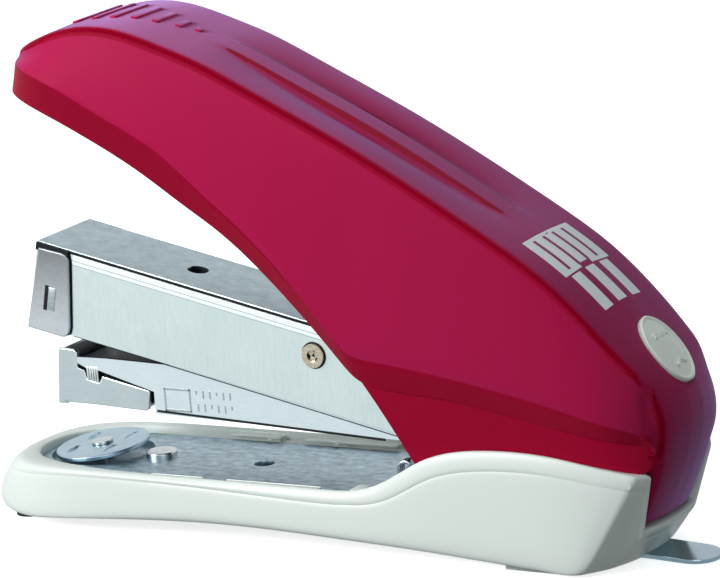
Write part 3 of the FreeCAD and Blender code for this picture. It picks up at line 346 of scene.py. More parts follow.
def patchy_colour(tree, shader, across_mm, detail, first, second):
    """The colour wanders between two close ones, in patches of a real size."""
    place = add_node(tree, "ShaderNodeTexCoord").outputs["Object"]
    patches = add_node(tree, "ShaderNodeTexNoise", {"Scale": 1 / (across_mm * MM), "Detail": detail},
                       {"Vector": place})
    colour = add_node(tree, "ShaderNodeMix", {"data_type": "RGBA", 6: linear(first), 7: linear(second)},
                      {0: patches.outputs["Fac"]})
    tree.links.new(colour.outputs[2], shader.inputs["Base Color"])


def moulded_grain(tree, shader, across_mm, detail, strength):
    """The slight unevenness that a mould or a spray leaves, 0.03 mm deep at most."""
    place = add_node(tree, "ShaderNodeTexCoord").outputs["Object"]
    grain = add_node(tree, "ShaderNodeTexNoise", {"Scale": 1 / (across_mm * MM), "Detail": detail},
                     {"Vector": place})
    bump = add_node(tree, "ShaderNodeBump", {"Strength": strength, "Distance": 0.03 * MM},
                    {"Height": grain.outputs["Fac"]})
    tree.links.new(bump.outputs["Normal"], shader.inputs["Normal"])


def soft_touch_lacquer():
    """ABS moulding sprayed with a rubbery lacquer: deep satin red that greys to violet at a glance."""
    material, tree, shader = new_material("soft_touch_lacquer_red", {
        "Roughness": 0.45, "IOR": 1.45, "Specular IOR Level": 0.03,
        "Sheen Weight": 1.0, "Sheen Roughness": 0.45, "Sheen Tint": linear("#cbb0ff")})
    # A fine orange peel, 0.35 mm across, and a cloudiness in the spray, 30 mm across.
    moulded_grain(tree, shader, 0.35, 2.0, 0.06)
    place = add_node(tree, "ShaderNodeTexCoord").outputs["Object"]
    clouds = add_node(tree, "ShaderNodeTexNoise", {"Scale": 1 / (30.0 * MM), "Detail": 1.0},
                      {"Vector": place})
    # The red darkens towards the stern as painted shade, with a little random cloudiness in the spray.
    apart = add_node(tree, "ShaderNodeSeparateXYZ", links={"Vector": place})
    along = add_node(tree, "ShaderNodeMapRange", {"From Min": -60 * MM, "From Max": 80 * MM},
                     {"Value": apart.outputs["X"]})
    # depth is the painted shade towards the stern plus a little cloudiness.
    depth = add_node(tree, "ShaderNodeMath", {"operation": "MULTIPLY_ADD", 1: 0.12},
                     {0: clouds.outputs["Fac"], 2: along.outputs["Result"]})
    colour = add_node(tree, "ShaderNodeMix",
                      {"data_type": "RGBA", 6: linear("#b50d46"), 7: linear("#99083a")},
                      {0: depth.outputs[0]})
    tree.links.new(colour.outputs[2], shader.inputs["Base Color"])
    return material


def satin_abs(name, pale, dark, roughness=0.38, specular=0.4):
    """Injection-moulded ABS with a satin mould finish: even colour, soft broad highlight."""
    material, tree, shader = new_material(name, {
        "Roughness": roughness, "IOR": 1.53, "Specular IOR Level": specular})
    patchy_colour(tree, shader, 22.0, 2.0, pale, dark)
    moulded_grain(tree, shader, 0.5, 3.0, 0.05)
    return material


def plated_sheet(name, pale, dark, roughness, streak, cloud_size=5.0, shade_fall=None):
    """Rolled steel sheet with a thin plating: fine rolling streaks and a faint cloudiness.

    Where shade_fall is given, as (low, high, tone when high), the colour darkens from one height to another
    as painted shade.
    """
    material, tree, shader = new_material(name, {"Metallic": 1.0})
    place = add_node(tree, "ShaderNodeTexCoord").outputs["Object"]
    turned = add_node(tree, "ShaderNodeMapping", {"Scale": streak}, {"Vector": place})
    streaks = add_node(tree, "ShaderNodeTexNoise", {"Scale": 1.0, "Detail": 3.0},
                       {"Vector": turned.outputs["Vector"]})
    clouds = add_node(tree, "ShaderNodeTexNoise",
                      {"Scale": 1 / (cloud_size * MM), "Detail": 4.0, "Roughness": 0.6},
                      {"Vector": place})
    # The tone is a little more cloud than streak.
    cloudy = add_node(tree, "ShaderNodeMath", {"operation": "MULTIPLY", 1: 0.55},
                      {0: clouds.outputs["Fac"]})
    both = add_node(tree, "ShaderNodeMath", {"operation": "MULTIPLY_ADD", 1: 0.45},
                    {0: streaks.outputs["Fac"], 2: cloudy.outputs[0]})
    spread = add_node(tree, "ShaderNodeMapRange", {"From Min": 0.35, "From Max": 0.65},
                      {"Value": both.outputs[0]})
    colour = add_node(tree, "ShaderNodeMix", {"data_type": "RGBA", 6: linear(dark), 7: linear(pale)},
                      {0: spread.outputs["Result"]}).outputs[2]
    if shade_fall:
        low, high, shaded_tone = shade_fall
        apart = add_node(tree, "ShaderNodeSeparateXYZ", links={"Vector": place})
        tone = add_node(tree, "ShaderNodeMapRange",
                        {"From Min": low * MM, "From Max": high * MM, "To Min": 1.0, "To Max": shaded_tone},
                        {"Value": apart.outputs["Z"]})
        colour = add_node(tree, "ShaderNodeVectorMath", {"operation": "SCALE"},
                          {0: colour, "Scale": tone.outputs["Result"]}).outputs[0]
    tree.links.new(colour, shader.inputs["Base Color"])
    gloss = add_node(tree, "ShaderNodeMapRange", {"To Min": roughness + 0.06, "To Max": roughness - 0.06},
                     {"Value": both.outputs[0]})
    tree.links.new(gloss.outputs["Result"], shader.inputs["Roughness"])
    bump = add_node(tree, "ShaderNodeBump", {"Strength": 0.1, "Distance": 0.02 * MM},
                    {"Height": streaks.outputs["Fac"]})
    tree.links.new(bump.outputs["Normal"], shader.inputs["Normal"])
    return material


def plain_rubber(name, dark, pale):
    """Moulded rubber: dull, slightly dusty."""
    material, tree, shader = new_material(name, {"Roughness": 0.85, "IOR": 1.52, "Specular IOR Level": 0.3})
    patchy_colour(tree, shader, 1.5, 4.0, dark, pale)
    return material


def shade_black_steel():
    """Nearly black steel: the inner steel parts, and painted shade in gaps, on inner faces and in bores
    where light can't reach.
    """
    material, tree, shader = new_material("near_black_steel_and_painted_shade", {
        "Roughness": 0.6, "IOR": 1.6, "Specular IOR Level": 0.1})
    patchy_colour(tree, shader, 2.0, 3.0, "#101417", "#22282c")
    return material


def pad_print():
    """Pad-printed two-part ink: flat pale grey with a slightly uneven film."""
    material, tree, shader = new_material("pale_grey_print_ink", {
        "Roughness": 0.5, "IOR": 1.5, "Specular IOR Level": 0.2})
    patchy_colour(tree, shader, 0.8, 3.0, "#f6fafd", "#eaeff4")
    return material


# Streaks per metre along each axis: long in the one with the low number.
ALONG_X = (400.0, 2500.0, 2500.0)
UPRIGHT = (2200.0, 2200.0, 300.0)
LACQUER = soft_touch_lacquer()
IVORY_ABS = satin_abs("satin_abs_ivory", "#e3ebe6", "#dfe8e2")
CLIP_ABS = satin_abs("satin_abs_white", "#eaf0ec", "#e2e9e4")
BUTTON_ABS = satin_abs("satin_abs_grey_green", "#eef7ee", "#e8f1e7", 0.25)
# Darker reds without sheen, used as painted shade on the handle's lower faces, skirt, flute steps and deck
# edge.
SHADED_RED_ABS = satin_abs("satin_abs_red_painted_shade", "#97052c", "#8f0429", 0.42, 0.06)
# The deck's edge reds paint shade along the narrow turn from the deck to the side.
EDGE_SHADE_ABS = satin_abs("satin_abs_red_painted_edge_shade", "#8c0122", "#84011f", 0.5, 0.02)
HALF_SHADE_ABS = satin_abs("satin_abs_red_painted_half_shade", "#9c052f", "#94042c", 0.5, 0.05)
NICKEL = plated_sheet("nickel_plated_sheet", "#deebea", "#cedcdb", 0.36, UPRIGHT, 9.0)
# A paler nickel for the painted highlight on the housing's rolled edge.
HIGHLIGHT_NICKEL = plated_sheet("nickel_painted_highlight", "#f8fbfb", "#eef4f4", 0.4, ALONG_X, 9.0)
BLUE_NICKEL = plated_sheet("nickel_plated_magazine", "#e6f1f6", "#d8e5eb", 0.34, ALONG_X, 8.0)
# A darker nickel: painted shade on the housing's top, and its two drawn lines.
DARK_NICKEL_AND_SHADE = plated_sheet("darker_nickel_and_painted_shade", "#a9bbc2", "#8fa2ab", 0.36, ALONG_X, 3.0)
# The front plate darkens towards its top as painted shade.
SHADED_FRONT_STEEL = plated_sheet("brushed_front_plate_painted_shade", "#c6ccd1", "#b6bcc2", 0.42, ALONG_X, 5.0,
                           (38.0, 53.0, 0.36))
TRAY_STEEL = plated_sheet("nickel_plated_tray", "#ced8dc", "#bfcbd0", 0.34, ALONG_X)
ZINC = plated_sheet("zinc_plated_plate", "#a3bbc8", "#6d828f", 0.36, (250.0, 700.0, 700.0), 1.6)
ANVIL_STEEL = plated_sheet("polished_anvil_steel", "#a5bfcd", "#95aebc", 0.3, ALONG_X)
CHROME = plated_sheet("chrome_plated_steel", "#8fa5b2", "#8297a4", 0.16, ALONG_X)
BRASS = plated_sheet("brass_eyelet", "#e6dcc8", "#bfae98", 0.25, ALONG_X, 1.0)
BRIGHT_STEEL = plated_sheet("bright_drawn_steel", "#c8d0d2", "#aab4b8", 0.25, ALONG_X)
STAPLE_STEEL = plated_sheet("galvanised_staple_wire", "#e4eaea", "#c4caca", 0.3, ALONG_X)
# The staple strip is near black as painted shade inside the magazine.
SHADED_STRIP_STEEL = plated_sheet("staple_strip_painted_shade", "#2a2f33", "#14181b", 0.5, (2000.0, 10.0, 10.0))
DARK_STEEL_AND_SHADE = shade_black_steel()
PRINT_INK = pad_print()
RUBBER = plain_rubber("black_rubber", "#141517", "#26282a")
PALE_RUBBER = plain_rubber("pale_grey_rubber", "#b9c2bd", "#c6cec9")


# ---- Handle: the shell's lines seen from the side, as (behind the nose, above the desk)
LOWER_EDGE = [(17.4, 82.4), (20.5, 81.5), (29.5, 78.2), (38.0, 74.2), (47.5, 69.1), (56.2, 63.3),
              (65.5, 57.3), (76.2, 47.5), (84.5, 38.5), (89.1, 33.3), (92.5, 31.9), (109.3, 30.3),
              (127.2, 26.9), (140.4, 24.5), (148.2, 23.3)]
CREASE = [(17.4, 87.6), (20.5, 87.3), (31.0, 84.4), (37.2, 81.4), (44.6, 77.6), (52.4, 73.7),
          (62.2, 65.4), (70.6, 58.7), (78.0, 51.0), (83.9, 43.9), (87.0, 39.6), (89.2, 37.9),
          (92.0, 37.2), (95.7, 36.9), (110.0, 34.8), (127.8, 31.2), (137.7, 28.3), (144.3, 25.9),
          (148.2, 24.9)]
CREST = [(17.4, 88.2), (19.0, 89.0), (21.0, 90.2), (24.0, 91.5), (28.5, 93.0), (32.6, 94.1),
         (36.9, 94.55), (41.5, 94.35), (45.6, 93.6), (51.0, 91.9), (60.3, 88.7), (68.5, 84.9),
         (92.0, 73.4), (113.8, 61.0), (126.7, 52.8), (134.5, 45.6), (140.8, 38.9), (143.5, 36.1),
         (144.8, 34.5)]
# Half widths of the shell, as (behind the nose, half width).
LOWER_HALF = [(17.4, 5.4), (18.2, 9.0), (20.2, 12.2), (24.0, 14.3), (29.5, 15.4), (38.0, 15.6),
              (128.0, 15.7), (138.0, 15.0), (141.0, 13.9), (143.5, 12.4)]
CREASE_HALF = [(17.4, 6.0), (18.2, 9.9), (20.2, 13.4), (24.0, 15.7), (29.5, 16.9), (38.0, 17.2),
               (47.0, 17.35), (128.0, 17.4), (138.0, 16.6), (141.0, 15.3), (143.5, 13.6)]
CREST_HALF = [(17.4, 5.2), (18.2, 8.2), (20.2, 10.4), (24.0, 11.5), (29.0, 11.8), (38.0, 12.0),
              (136.0, 12.1), (141.0, 11.6), (143.5, 11.1)]
SHELL_STATIONS = [17.4, 18.3, 19.9, 22.5, 26.0, 30.0, 34.0, 38.5, 43.0, 48.0, 53.0, 58.0, 62.0, 67.0,
                  73.0, 79.0, 84.0, 87.0, 89.3, 92.0, 96.0, 102.0, 108.0, 112.0, 116.0, 121.0, 126.0,
                  130.5, 134.5, 138.0, 141.0, 143.5]
# The stern below the last station, row by row, as (behind the nose, half width, above the desk) from the
# lower edge to the middle.
STERN_ROWS = [
    [(144.0, 12.0, 23.6), (144.2, 13.0, 25.2), (144.3, 12.8, 27.0), (144.2, 12.3, 29.6),
     (144.1, 11.6, 31.4), (144.9, 10.8, 32.0), (145.5, 9.7, 32.3), (146.3, 7.2, 32.5),
     (147.0, 2.6, 32.7), (147.05, 2.0, 32.7), (147.1, 0.0, 32.7)],
    [(144.5, 11.6, 23.0), (144.8, 12.4, 24.7), (144.9, 12.2, 26.2), (145.0, 11.8, 27.9),
     (145.1, 11.3, 29.2), (145.9, 10.6, 29.5), (146.5, 9.6, 29.6), (147.3, 7.2, 29.7),
     (147.95, 2.6, 29.8), (148.0, 2.0, 29.8), (148.05, 0.0, 29.8)],
    [(144.9, 11.3, 22.5), (145.2, 11.9, 24.1), (145.3, 11.8, 25.1), (145.5, 11.5, 26.2),
     (145.75, 11.2, 26.8), (146.4, 10.5, 27.0), (147.0, 9.5, 27.0), (147.75, 7.2, 27.0),
     (148.3, 2.6, 27.0), (148.33, 2.0, 27.0), (148.35, 0.0, 27.0)],
    [(145.2, 11.1, 22.0), (145.4, 11.5, 23.2), (145.5, 11.4, 23.8), (145.65, 11.2, 24.3),
     (145.85, 11.0, 24.6), (146.45, 10.4, 24.8), (147.0, 9.5, 24.8), (147.65, 7.2, 24.8),
     (148.1, 2.6, 24.8), (148.13, 2.0, 24.8), (148.15, 0.0, 24.8)],
    [(145.2, 11.0, 21.3), (145.3, 11.1, 21.9), (145.35, 11.1, 22.0), (145.45, 11.0, 22.1),
     (145.6, 10.9, 22.2), (146.1, 10.3, 22.3), (146.6, 9.5, 22.3), (147.15, 7.2, 22.3),
     (147.6, 2.6, 22.3), (147.65, 2.0, 22.3), (147.7, 0.0, 22.3)]]
# The tail goes down from there between the cheeks of the base. Its plan is given as (behind its rear, share
# of its half width) and its profile as (above the desk, rear behind the nose).
TAIL_HALF = 9.6
TAIL_PLAN = [(-3.4, 1.0), (-3.1, 1.0), (-2.9, 1.0), (-2.6, 1.0), (-2.3, 1.0), (-1.7, 0.985), (-1.1, 0.93),
             (-0.4, 0.7), (0.0, 0.27), (0.03, 0.2), (0.05, 0.0)]
TAIL_PROFILE = [(20.2, 147.0), (17.3, 146.0), (14.3, 144.7), (11.3, 143.3), (8.5, 141.9)]
SHELL_WALL = 1.2
# A lens-shaped flute lies on each side of the deck's middle.
FLUTE_START = 58.0
FLUTE_END = 116.0
FLUTE_DEPTH = 1.3
FLUTE_EDGE = 2.0
DECK_CROWN = 0.25
STERN_CROWN = 1.5
CROWN_START = 112.0
CROWN_LENGTH = 28.0
# The front leans back above its lower edge, less and less over this length.
NOSE_LEAN = 1.5
NOSE_LEAN_LENGTH = 14.0


def flute_share(x):
    """How deep the lens-shaped flute in the deck is at x, from 0 at its tips to 1."""
    t = (x - FLUTE_START) / (FLUTE_END - FLUTE_START)
    return math.sin(math.pi * t) ** 0.7 if 0 < t < 1 else 0.0


def deck_crown(x):
    """How far the middle of the deck stands above its edges: little at first, more towards the stern."""
    t = min(1.0, max(0.0, (x - CROWN_START) / CROWN_LENGTH))
    return DECK_CROWN + (STERN_CROWN - DECK_CROWN) * t * t * (3 - 2 * t)


def shell_section(x):
    """Half of the shell's section at one station, from its lower edge to the middle of the deck."""
    low_half, crease_half, crest_half = (on_line(line, x) for line in (LOWER_HALF, CREASE_HALF, CREST_HALF))
    low, crease, crest = (on_line(line, x) for line in (LOWER_EDGE, CREASE, CREST))
    rise = max(crest - crease, 0.4)
    drop = min(2.6, rise * 0.55)
    out = (crease_half - crest_half) * 0.42
    flank = (crest_half + out, crest - drop)
    share = flute_share(x)
    lean = NOSE_LEAN * max(0.0, 1.0 - (x - SHELL_STATIONS[0]) / NOSE_LEAN_LENGTH)
    points = [(low_half, low), (crease_half, crease)]
    for part in (0.33, 0.7):
        bulge = 0.35 * math.sin(math.pi * part) * min(1.0, rise / 12)
        points.append((crease_half + (flank[0] - crease_half) * part + bulge,
                       crease + (flank[1] - crease) * part))
    points += [flank, (crest_half + out * 0.76, crest - drop * 0.4),
               (crest_half + 0.5, crest - drop * 0.03)]
    inner = min(8.6, crest_half * 0.72)
    crown = deck_crown(x)
    points += [(inner, crest + crown * 0.5),
               (FLUTE_EDGE + 0.6 + 1.9 * share, crest + crown * 0.9 - FLUTE_DEPTH * share),
               (FLUTE_EDGE, crest + crown * 0.97), (0.0, crest + crown)]
    return [Vector((x + (lean if index else -0.6 * lean), -y, z)) for index, (y, z) in enumerate(points)]


def tail_section(height, rear):
    """Half of the tail's plan at one height, from inside the base round to the middle of the stern."""
    return [Vector((rear + ahead, -TAIL_HALF * share, height)) for ahead, share in TAIL_PLAN]


def deck_edge_share(centre):
    """How far out a place lies on the narrow turn from the deck to the side: 0 to 1 on the turn itself."""
    if centre.x < 144.0:
        crest_half = on_line(CREST_HALF, centre.x)
        turn = 0.2 + 0.25 * (on_line(CREASE_HALF, centre.x) - crest_half)
        on_turn = centre.x > 17.6 and centre.z > on_line(CREST, centre.x) - 1.7
        return (abs(centre.y) - crest_half - 0.3) / turn if on_turn else -1.0
    return (abs(centre.y) - 9.6) / 1.3 if centre.z > 20.5 and centre.x > 145.2 else -1.0


def on_flute_step(centre):
    """Whether a place lies on the steep side of the flute."""
    share = flute_share(centre.x)
    beside_edge = FLUTE_EDGE + 0.1 < abs(centre.y) < FLUTE_EDGE + 0.4 + 1.1 * share
    return share > 0.2 and beside_edge and centre.z > 50.0


def in_painted_shade(centre, normal):
    """Whether a face gets the darker red without sheen as painted shade: below the crease, or on the
    upright front.
    """
    ahead_of_tail = centre.x < 141.0 or (centre.x < 145.3 and abs(centre.y) > 10.9)
    below = centre.z < on_line(CREASE, centre.x) - 0.15 and ahead_of_tail
    front = centre.x < SHELL_STATIONS[0] + NOSE_LEAN + 0.9
    return below or (front and normal.x < -0.72 and abs(normal.z) < 0.6)


# Places in the shell's section, counted from its lower edge: the crease, the turn into the deck, and the
# floor and edge of the flute.
CREASE_PLACE = 1
TURN_PLACE = 6
FLUTE_FLOOR_PLACE = 8
FLUTE_EDGE_PLACE = 9


def close_front(form):
    """Closes the front of the shell with a face across it."""
    front = SHELL_STATIONS[0] + NOSE_LEAN
    edges = [edge for edge in form.edges if edge.is_boundary
             and all(vert.co.x < front + 0.01 for vert in edge.verts)
             and any(vert.co.x > front - 0.01 for vert in edge.verts)]
    ends = [vert for vert in {vert for edge in edges for vert in edge.verts}
            if sum(edge in edges for edge in vert.link_edges) == 1]
    edges.append(form.edges.new(ends))
    layer = form.edges.layers.float["crease_edge"]
    for edge in edges:
        edge[layer] = 0.9
    bmesh.ops.edgenet_fill(form, edges=edges)


def make_shell():
    form = bmesh.new()
    sections = [shell_section(x) for x in SHELL_STATIONS]
    sections += [[Vector((x, -half, z)) for x, half, z in row] for row in STERN_ROWS]
    upper = len(sections)
    sections += [tail_section(height, rear) for height, rear in TAIL_PROFILE]
    rows = sweep(form, sections)
    crease_line(form, rows, 0, 1.0)
    crease_line(form, rows[:upper], CREASE_PLACE, 1.0)
    crease_line(form, rows, TURN_PLACE, 0.45)
    fluted = [row for row, x in zip(rows, SHELL_STATIONS) if FLUTE_START <= x < FLUTE_END]
    fluted.append(rows[rows.index(fluted[-1]) + 1])
    crease_line(form, fluted, FLUTE_EDGE_PLACE, 1.0)
    crease_line(form, fluted, FLUTE_FLOOR_PLACE, 0.7)
    crease_edges(form, list(zip(rows[-1], rows[-1][1:])), 1.0)
    mirror_across(form)
    close_front(form)
    settle(form)
    piece = add_piece(form, "handle_shell_moulding", "handle", LACQUER, ["handle_shell"])
    add_subdivision(piece, 2)
    add_wall(piece, SHELL_WALL)
    finish_mesh(piece)
    # Painted shade: darker red without sheen below the crease, on the front and the flute steps, and on the
    # deck's edge.
    as_drawn = Matrix()
    paint_faces(piece, SHADED_RED_ABS, as_drawn, in_painted_shade)
    paint_faces(piece, HALF_SHADE_ABS, as_drawn, lambda centre, normal: 0.0 < deck_edge_share(centre) < 1.0)
    paint_faces(piece, EDGE_SHADE_ABS, as_drawn, lambda centre, normal: 0.2 < deck_edge_share(centre) < 0.72)
    paint_faces(piece, SHADED_RED_ABS, as_drawn, lambda centre, normal: on_flute_step(centre) and normal.z > 0)
    return piece


# The base from the side, which the skirt follows.
RIM = 12.5
BASE_BOTTOM = [(0.0, 2.4), (16.0, 2.4), (23.0, 3.1), (40.0, 3.9), (62.0, 4.3), (83.0, 3.4), (100.0, 2.5),
               (118.0, 1.2), (129.0, 0.5), (147.0, 0.4)]
BASE_TOP = [(0.0, RIM), (60.0, RIM), (84.0, RIM - 0.1), (88.0, RIM + 0.1), (91.7, 13.9), (95.4, 15.6),
            (99.1, 18.0), (104.0, 20.2), (108.7, 21.4), (114.5, 22.0), (124.0, 22.0), (131.5, 21.2),
            (138.6, 19.9), (144.3, 18.7), (147.0, 18.0)]

# The skirt goes down inside the cheeks of the base and follows the stern round.
SKIRT_WALL = 1.6
SKIRT_PLAN = [(89.8, 15.2), (92.5, 15.2), (96.2, 15.2), (99.0, 15.2), (104.0, 15.2), (110.0, 15.2),
              (117.0, 15.2), (119.5, 15.2), (126.0, 15.2), (132.0, 15.1), (137.0, 14.5), (141.0, 13.4),
              (143.6, 12.1), (145.0, 11.1), (145.5, 10.2)]
SKIRT_FRONT = [(89.8, 33.0), (92.5, 29.3), (96.2, 23.7), (99.0, 19.1), (104.0, 12.2), (110.0, 11.6),
               (117.0, 11.6)]


def skirt_bottom(x):
    """The skirt's lower edge: steep at its front, then just inside the top of the cheek."""
    if x < 118.0:
        return on_line(SKIRT_FRONT, x)
    if x < 131.0:
        return on_line(BASE_TOP, x) - 1.4
    return on_line(BASE_TOP, x + 2.4) + 0.05 + max(0.0, x - 144.0) * 1.8


def make_skirt():
    form = bmesh.new()
    sections = []
    for x, half in SKIRT_PLAN:
        low = skirt_bottom(x)
        high = max(on_line(LOWER_EDGE, x) + 1.2, low + 0.6)
        sections.append([Vector((x, -half, low + (high - low) * part)) for part in (0.0, 0.15, 0.5, 1.0)])
    rows = sweep(form, sections)
    crease_line(form, rows, 0, 1.0)
    mirror_across(form)
    settle(form)
    # The skirt takes the darker red without sheen, as painted shade down in the cheeks of the base.
    piece = add_piece(form, "handle_skirt", "handle", SHADED_RED_ABS)
    add_subdivision(piece, 2)
    add_wall(piece, SKIRT_WALL)
    finish_mesh(piece)


SHELL = make_shell()
make_skirt()
SHELL_TREE = BVHTree.FromPolygons([millimetres(vert.co) for vert in SHELL.data.vertices],
                                  [list(face.vertices) for face in SHELL.data.polygons])

# Raised bars across the front of the deck, as (behind the nose, half length), and a dot behind them.
DECK_RIBS = [(31.5, 7.5), (35.0, 6.5), (38.4, 5.6), (42.1, 4.5), (45.9, 3.5), (49.8, 2.05), (53.0, 0.75)]
RIB_HALF = 0.7
RIB_SUNK = 0.9
RIB_PROUD = 0.33
# Two rows of plain printed bars: (first, last) behind the nose, (half width, bar, gap).
PRINT_ROWS = [((121.2, 128.0), (7.9, 2.5, 0.82)), ((129.0, 135.2), (6.5, 3.0, 2.0))]
PRINT_LINE = 0.7
PRINT_STEP = 0.7
INK_FILM = 0.04


def deck_point(x, y):
    """Where the shell's outer surface is at one place of its plan, and its normal."""
    hit, normal, _, _ = SHELL_TREE.ray_cast(Vector((x, y, 120.0)), Vector((0.0, 0.0, -1.0)))
    return hit, normal


def make_ribs():
    form = bmesh.new()
    for x, half in DECK_RIBS:
        hit, normal = deck_point(x, 0.0)
        before = set(form.verts)
        add_block(form, (-RIB_HALF, -half, -RIB_SUNK), (RIB_HALF, half, RIB_PROUD), 0.3, 3)
        slope = Matrix.Rotation(math.atan2(normal.x, normal.z), 4, "Y")
        place_new(form, before, Matrix.Translation(hit) @ slope)
    add_piece(form, "deck_ribs", "handle", LACQUER)


def add_print(form, first, last, left, right):
    """A thin film of ink on the deck between two stations and two sides."""
    along = max(2, round((last - first) / PRINT_STEP))
    grid = bmesh.ops.create_grid(form, x_segments=along, y_segments=3, size=0.5)["verts"]
    for vert in grid:
        x = (first + last) / 2 + vert.co.x * (last - first)
        y = (left + right) / 2 + vert.co.y * (right - left)
        hit, normal = deck_point(x, y)
        vert.co = hit + normal * INK_FILM


def make_prints():
    form = bmesh.new()
    for (first, last), (half, bar, gap) in PRINT_ROWS:
        left = -half
        while left + bar <= half + 0.01:
            add_print(form, first, last, left, left + bar)
            left += bar + gap
    # The front row's bars are joined by a line at each end.
    (first, last), (half, _, _) = PRINT_ROWS[0]
    for x in (first - PRINT_LINE, last):
        add_print(form, x, x + PRINT_LINE, -half, half)
    settle(form)
    add_piece(form, "deck_print", "handle", PRINT_INK)


BUTTON_PLACE = Matrix.Translation((143.45, 0.0, 38.0)) @ Matrix.Rotation(math.radians(51.3), 4, "Y")
BUTTON_HALF = (6.85, 4.9)
BUTTON_GAP = 0.15
# The cap's profile, as (share of the half width, height above the rim): crowned inside a raised rim.
CAP_PROFILE = [(0.0, 0.35), (0.4, 0.28), (0.7, 0.05), (0.87, -0.2), (0.91, 0.0), (0.96, 0.02),
                (1.0, -0.2), (1.0, -3.0)]
# Marks on the cap, in its own axes: one arm of a chevron, which leans by this many degrees, and a pip
# that is repeated at each of these sides.
CHEVRON_ARM = ((-0.25, -1.8, 0.0), (0.25, 0.0, 0.6))
CHEVRON_TIP = 2.6
CHEVRON_LEAN = 35.0
PIP = ((-3.3, -0.45, 0.0), (-2.2, 0.45, 0.55))
PIP_SIDES = (-1.8, 0.0, 1.8)


def add_oval(form, profile, halves, place):
    """A profile turned all the way round and drawn out to an oval."""
    before = set(form.verts)
    verts = start_chain(form, [Vector((share, 0.0, height)) for share, height in profile])
    geom = verts + [edge for edge in form.edges if all(vert in verts for vert in edge.verts)]
    bmesh.ops.spin(form, geom=geom, cent=(0, 0, 0), axis=(0, 0, 1), angle=math.tau, steps=48,
                   use_merge=True)
    bmesh.ops.remove_doubles(form, verts=[vert for vert in form.verts if vert not in before], dist=0.0005)
    place_new(form, before, place @ Matrix.Diagonal((halves[0], halves[1], 1.0, 1.0)))


def open_button_seat():
    """Opens the deck under the button, so that the cap goes down into it."""
    size = Matrix.Diagonal((BUTTON_HALF[0] + BUTTON_GAP, BUTTON_HALF[1] + BUTTON_GAP, 1.0, 1.0))
    form = bmesh.new()
    bmesh.ops.create_cone(form, cap_ends=True, segments=64, radius1=1.0, radius2=1.0, depth=8.0,
                          matrix=BUTTON_PLACE @ size)
    cutter = make_object(form, "seat")
    modifier = SHELL.modifiers.new("seat", "BOOLEAN")
    modifier.operation = "DIFFERENCE"
    modifier.solver = "EXACT"
    modifier.object = cutter
    finish_mesh(SHELL, most_corners=30)
    bpy.data.objects.remove(cutter)


def make_button():
    form = bmesh.new()
    add_oval(form, CAP_PROFILE, BUTTON_HALF, BUTTON_PLACE)
    settle(form)
    add_piece(form, "button_cap", "button", BUTTON_ABS, ["release_button"], 40.0)
    # A plain chevron with three small pips above it.
    form = bmesh.new()
    for side in (-1, 1):
        before = set(form.verts)
        add_block(form, *CHEVRON_ARM, 0.1)
        lean = Matrix.Rotation(math.radians(CHEVRON_LEAN * side), 4, "Z")
        tip = Matrix.Translation((CHEVRON_TIP, 0, 0))
        place_new(form, before, tip @ lean @ Matrix.Diagonal((1, side, 1, 1)))
    for y in PIP_SIDES:
        before = set(form.verts)
        add_block(form, *PIP, 0.12)
        place_new(form, before, Matrix.Translation((0, y, 0)))
    bmesh.ops.transform(form, matrix=BUTTON_PLACE, verts=form.verts)
    settle(form)
    add_piece(form, "button_marks", "button", BUTTON_ABS)


make_ribs()
make_prints()
open_button_seat()
make_button()


# ---- Base: its outline is swept round the plan, from the nose along one side to the stern

PARTING = [(0.0, 9.2), (30.0, 11.4), (58.2, 11.0), (77.1, 10.1), (87.0, 10.2), (92.2, 10.9),
           (96.3, 12.6), (99.6, 14.5), (105.2, 17.0), (111.1, 18.2), (116.9, 18.7), (126.3, 18.6),
           (138.1, 16.9), (145.4, 15.6)]
NOTCH_FLOOR = 7.8
# Plan stations, each with its foot, its rim and its opening, as (behind nose, half width).
NOSE_PLAN = [
    ((0.0, 0.0), (8.6, 0.0), (12.2, 0.0)),
    ((0.6, 2.8), (8.7, 3.6), (12.5, 3.2)),
    ((2.3, 5.8), (9.2, 6.6), (13.6, 6.3)),
    ((4.8, 9.0), (10.4, 9.8), (15.6, 8.9)),
    ((7.8, 12.1), (12.4, 12.6), (18.6, 10.9)),
    ((11.2, 14.6), (15.4, 14.6), (22.6, 12.3)),
    ((15.2, 16.2), (19.6, 15.9), (27.6, 13.4)),
    ((20.5, 17.1), (25.0, 16.6), (32.5, 14.2)),
    ((27.0, 17.5), (31.0, 16.9), (37.5, 14.8)),
]
# Where the sides run straight, as (behind nose, half width of the opening).
STRAIGHT_PLAN = [(46.0, 15.0), (58.0, 15.3), (70.0, 15.4), (80.0, 15.4), (86.0, 15.4), (90.0, 15.4),
                 (93.5, 15.4), (97.0, 15.4), (100.5, 15.4), (104.5, 15.4), (110.0, 15.4), (118.0, 15.4)]
STERN_PLAN = [
    ((125.0, 17.4), (126.5, 17.0), (126.0, 15.4)),
    ((129.5, 17.1), (134.0, 16.5), (130.5, 15.0)),
    ((131.6, 16.7), (139.5, 15.6), (134.0, 13.6)),
    ((132.4, 16.2), (143.4, 14.4), (137.0, 11.9)),
    ((133.4, 15.0), (144.4, 12.9), (137.4, 10.4)),
    ((134.6, 13.2), (145.2, 11.4), (137.6, 9.85)),
    ((135.6, 11.4), (142.2, 9.8), (137.7, 9.8)),
    ((136.8, 8.4), (142.9, 7.6), (138.2, 7.6)),
    ((137.8, 4.4), (143.4, 4.2), (138.6, 4.2)),
    ((138.0, 0.0), (143.6, 0.0), (138.7, 0.0)),
]
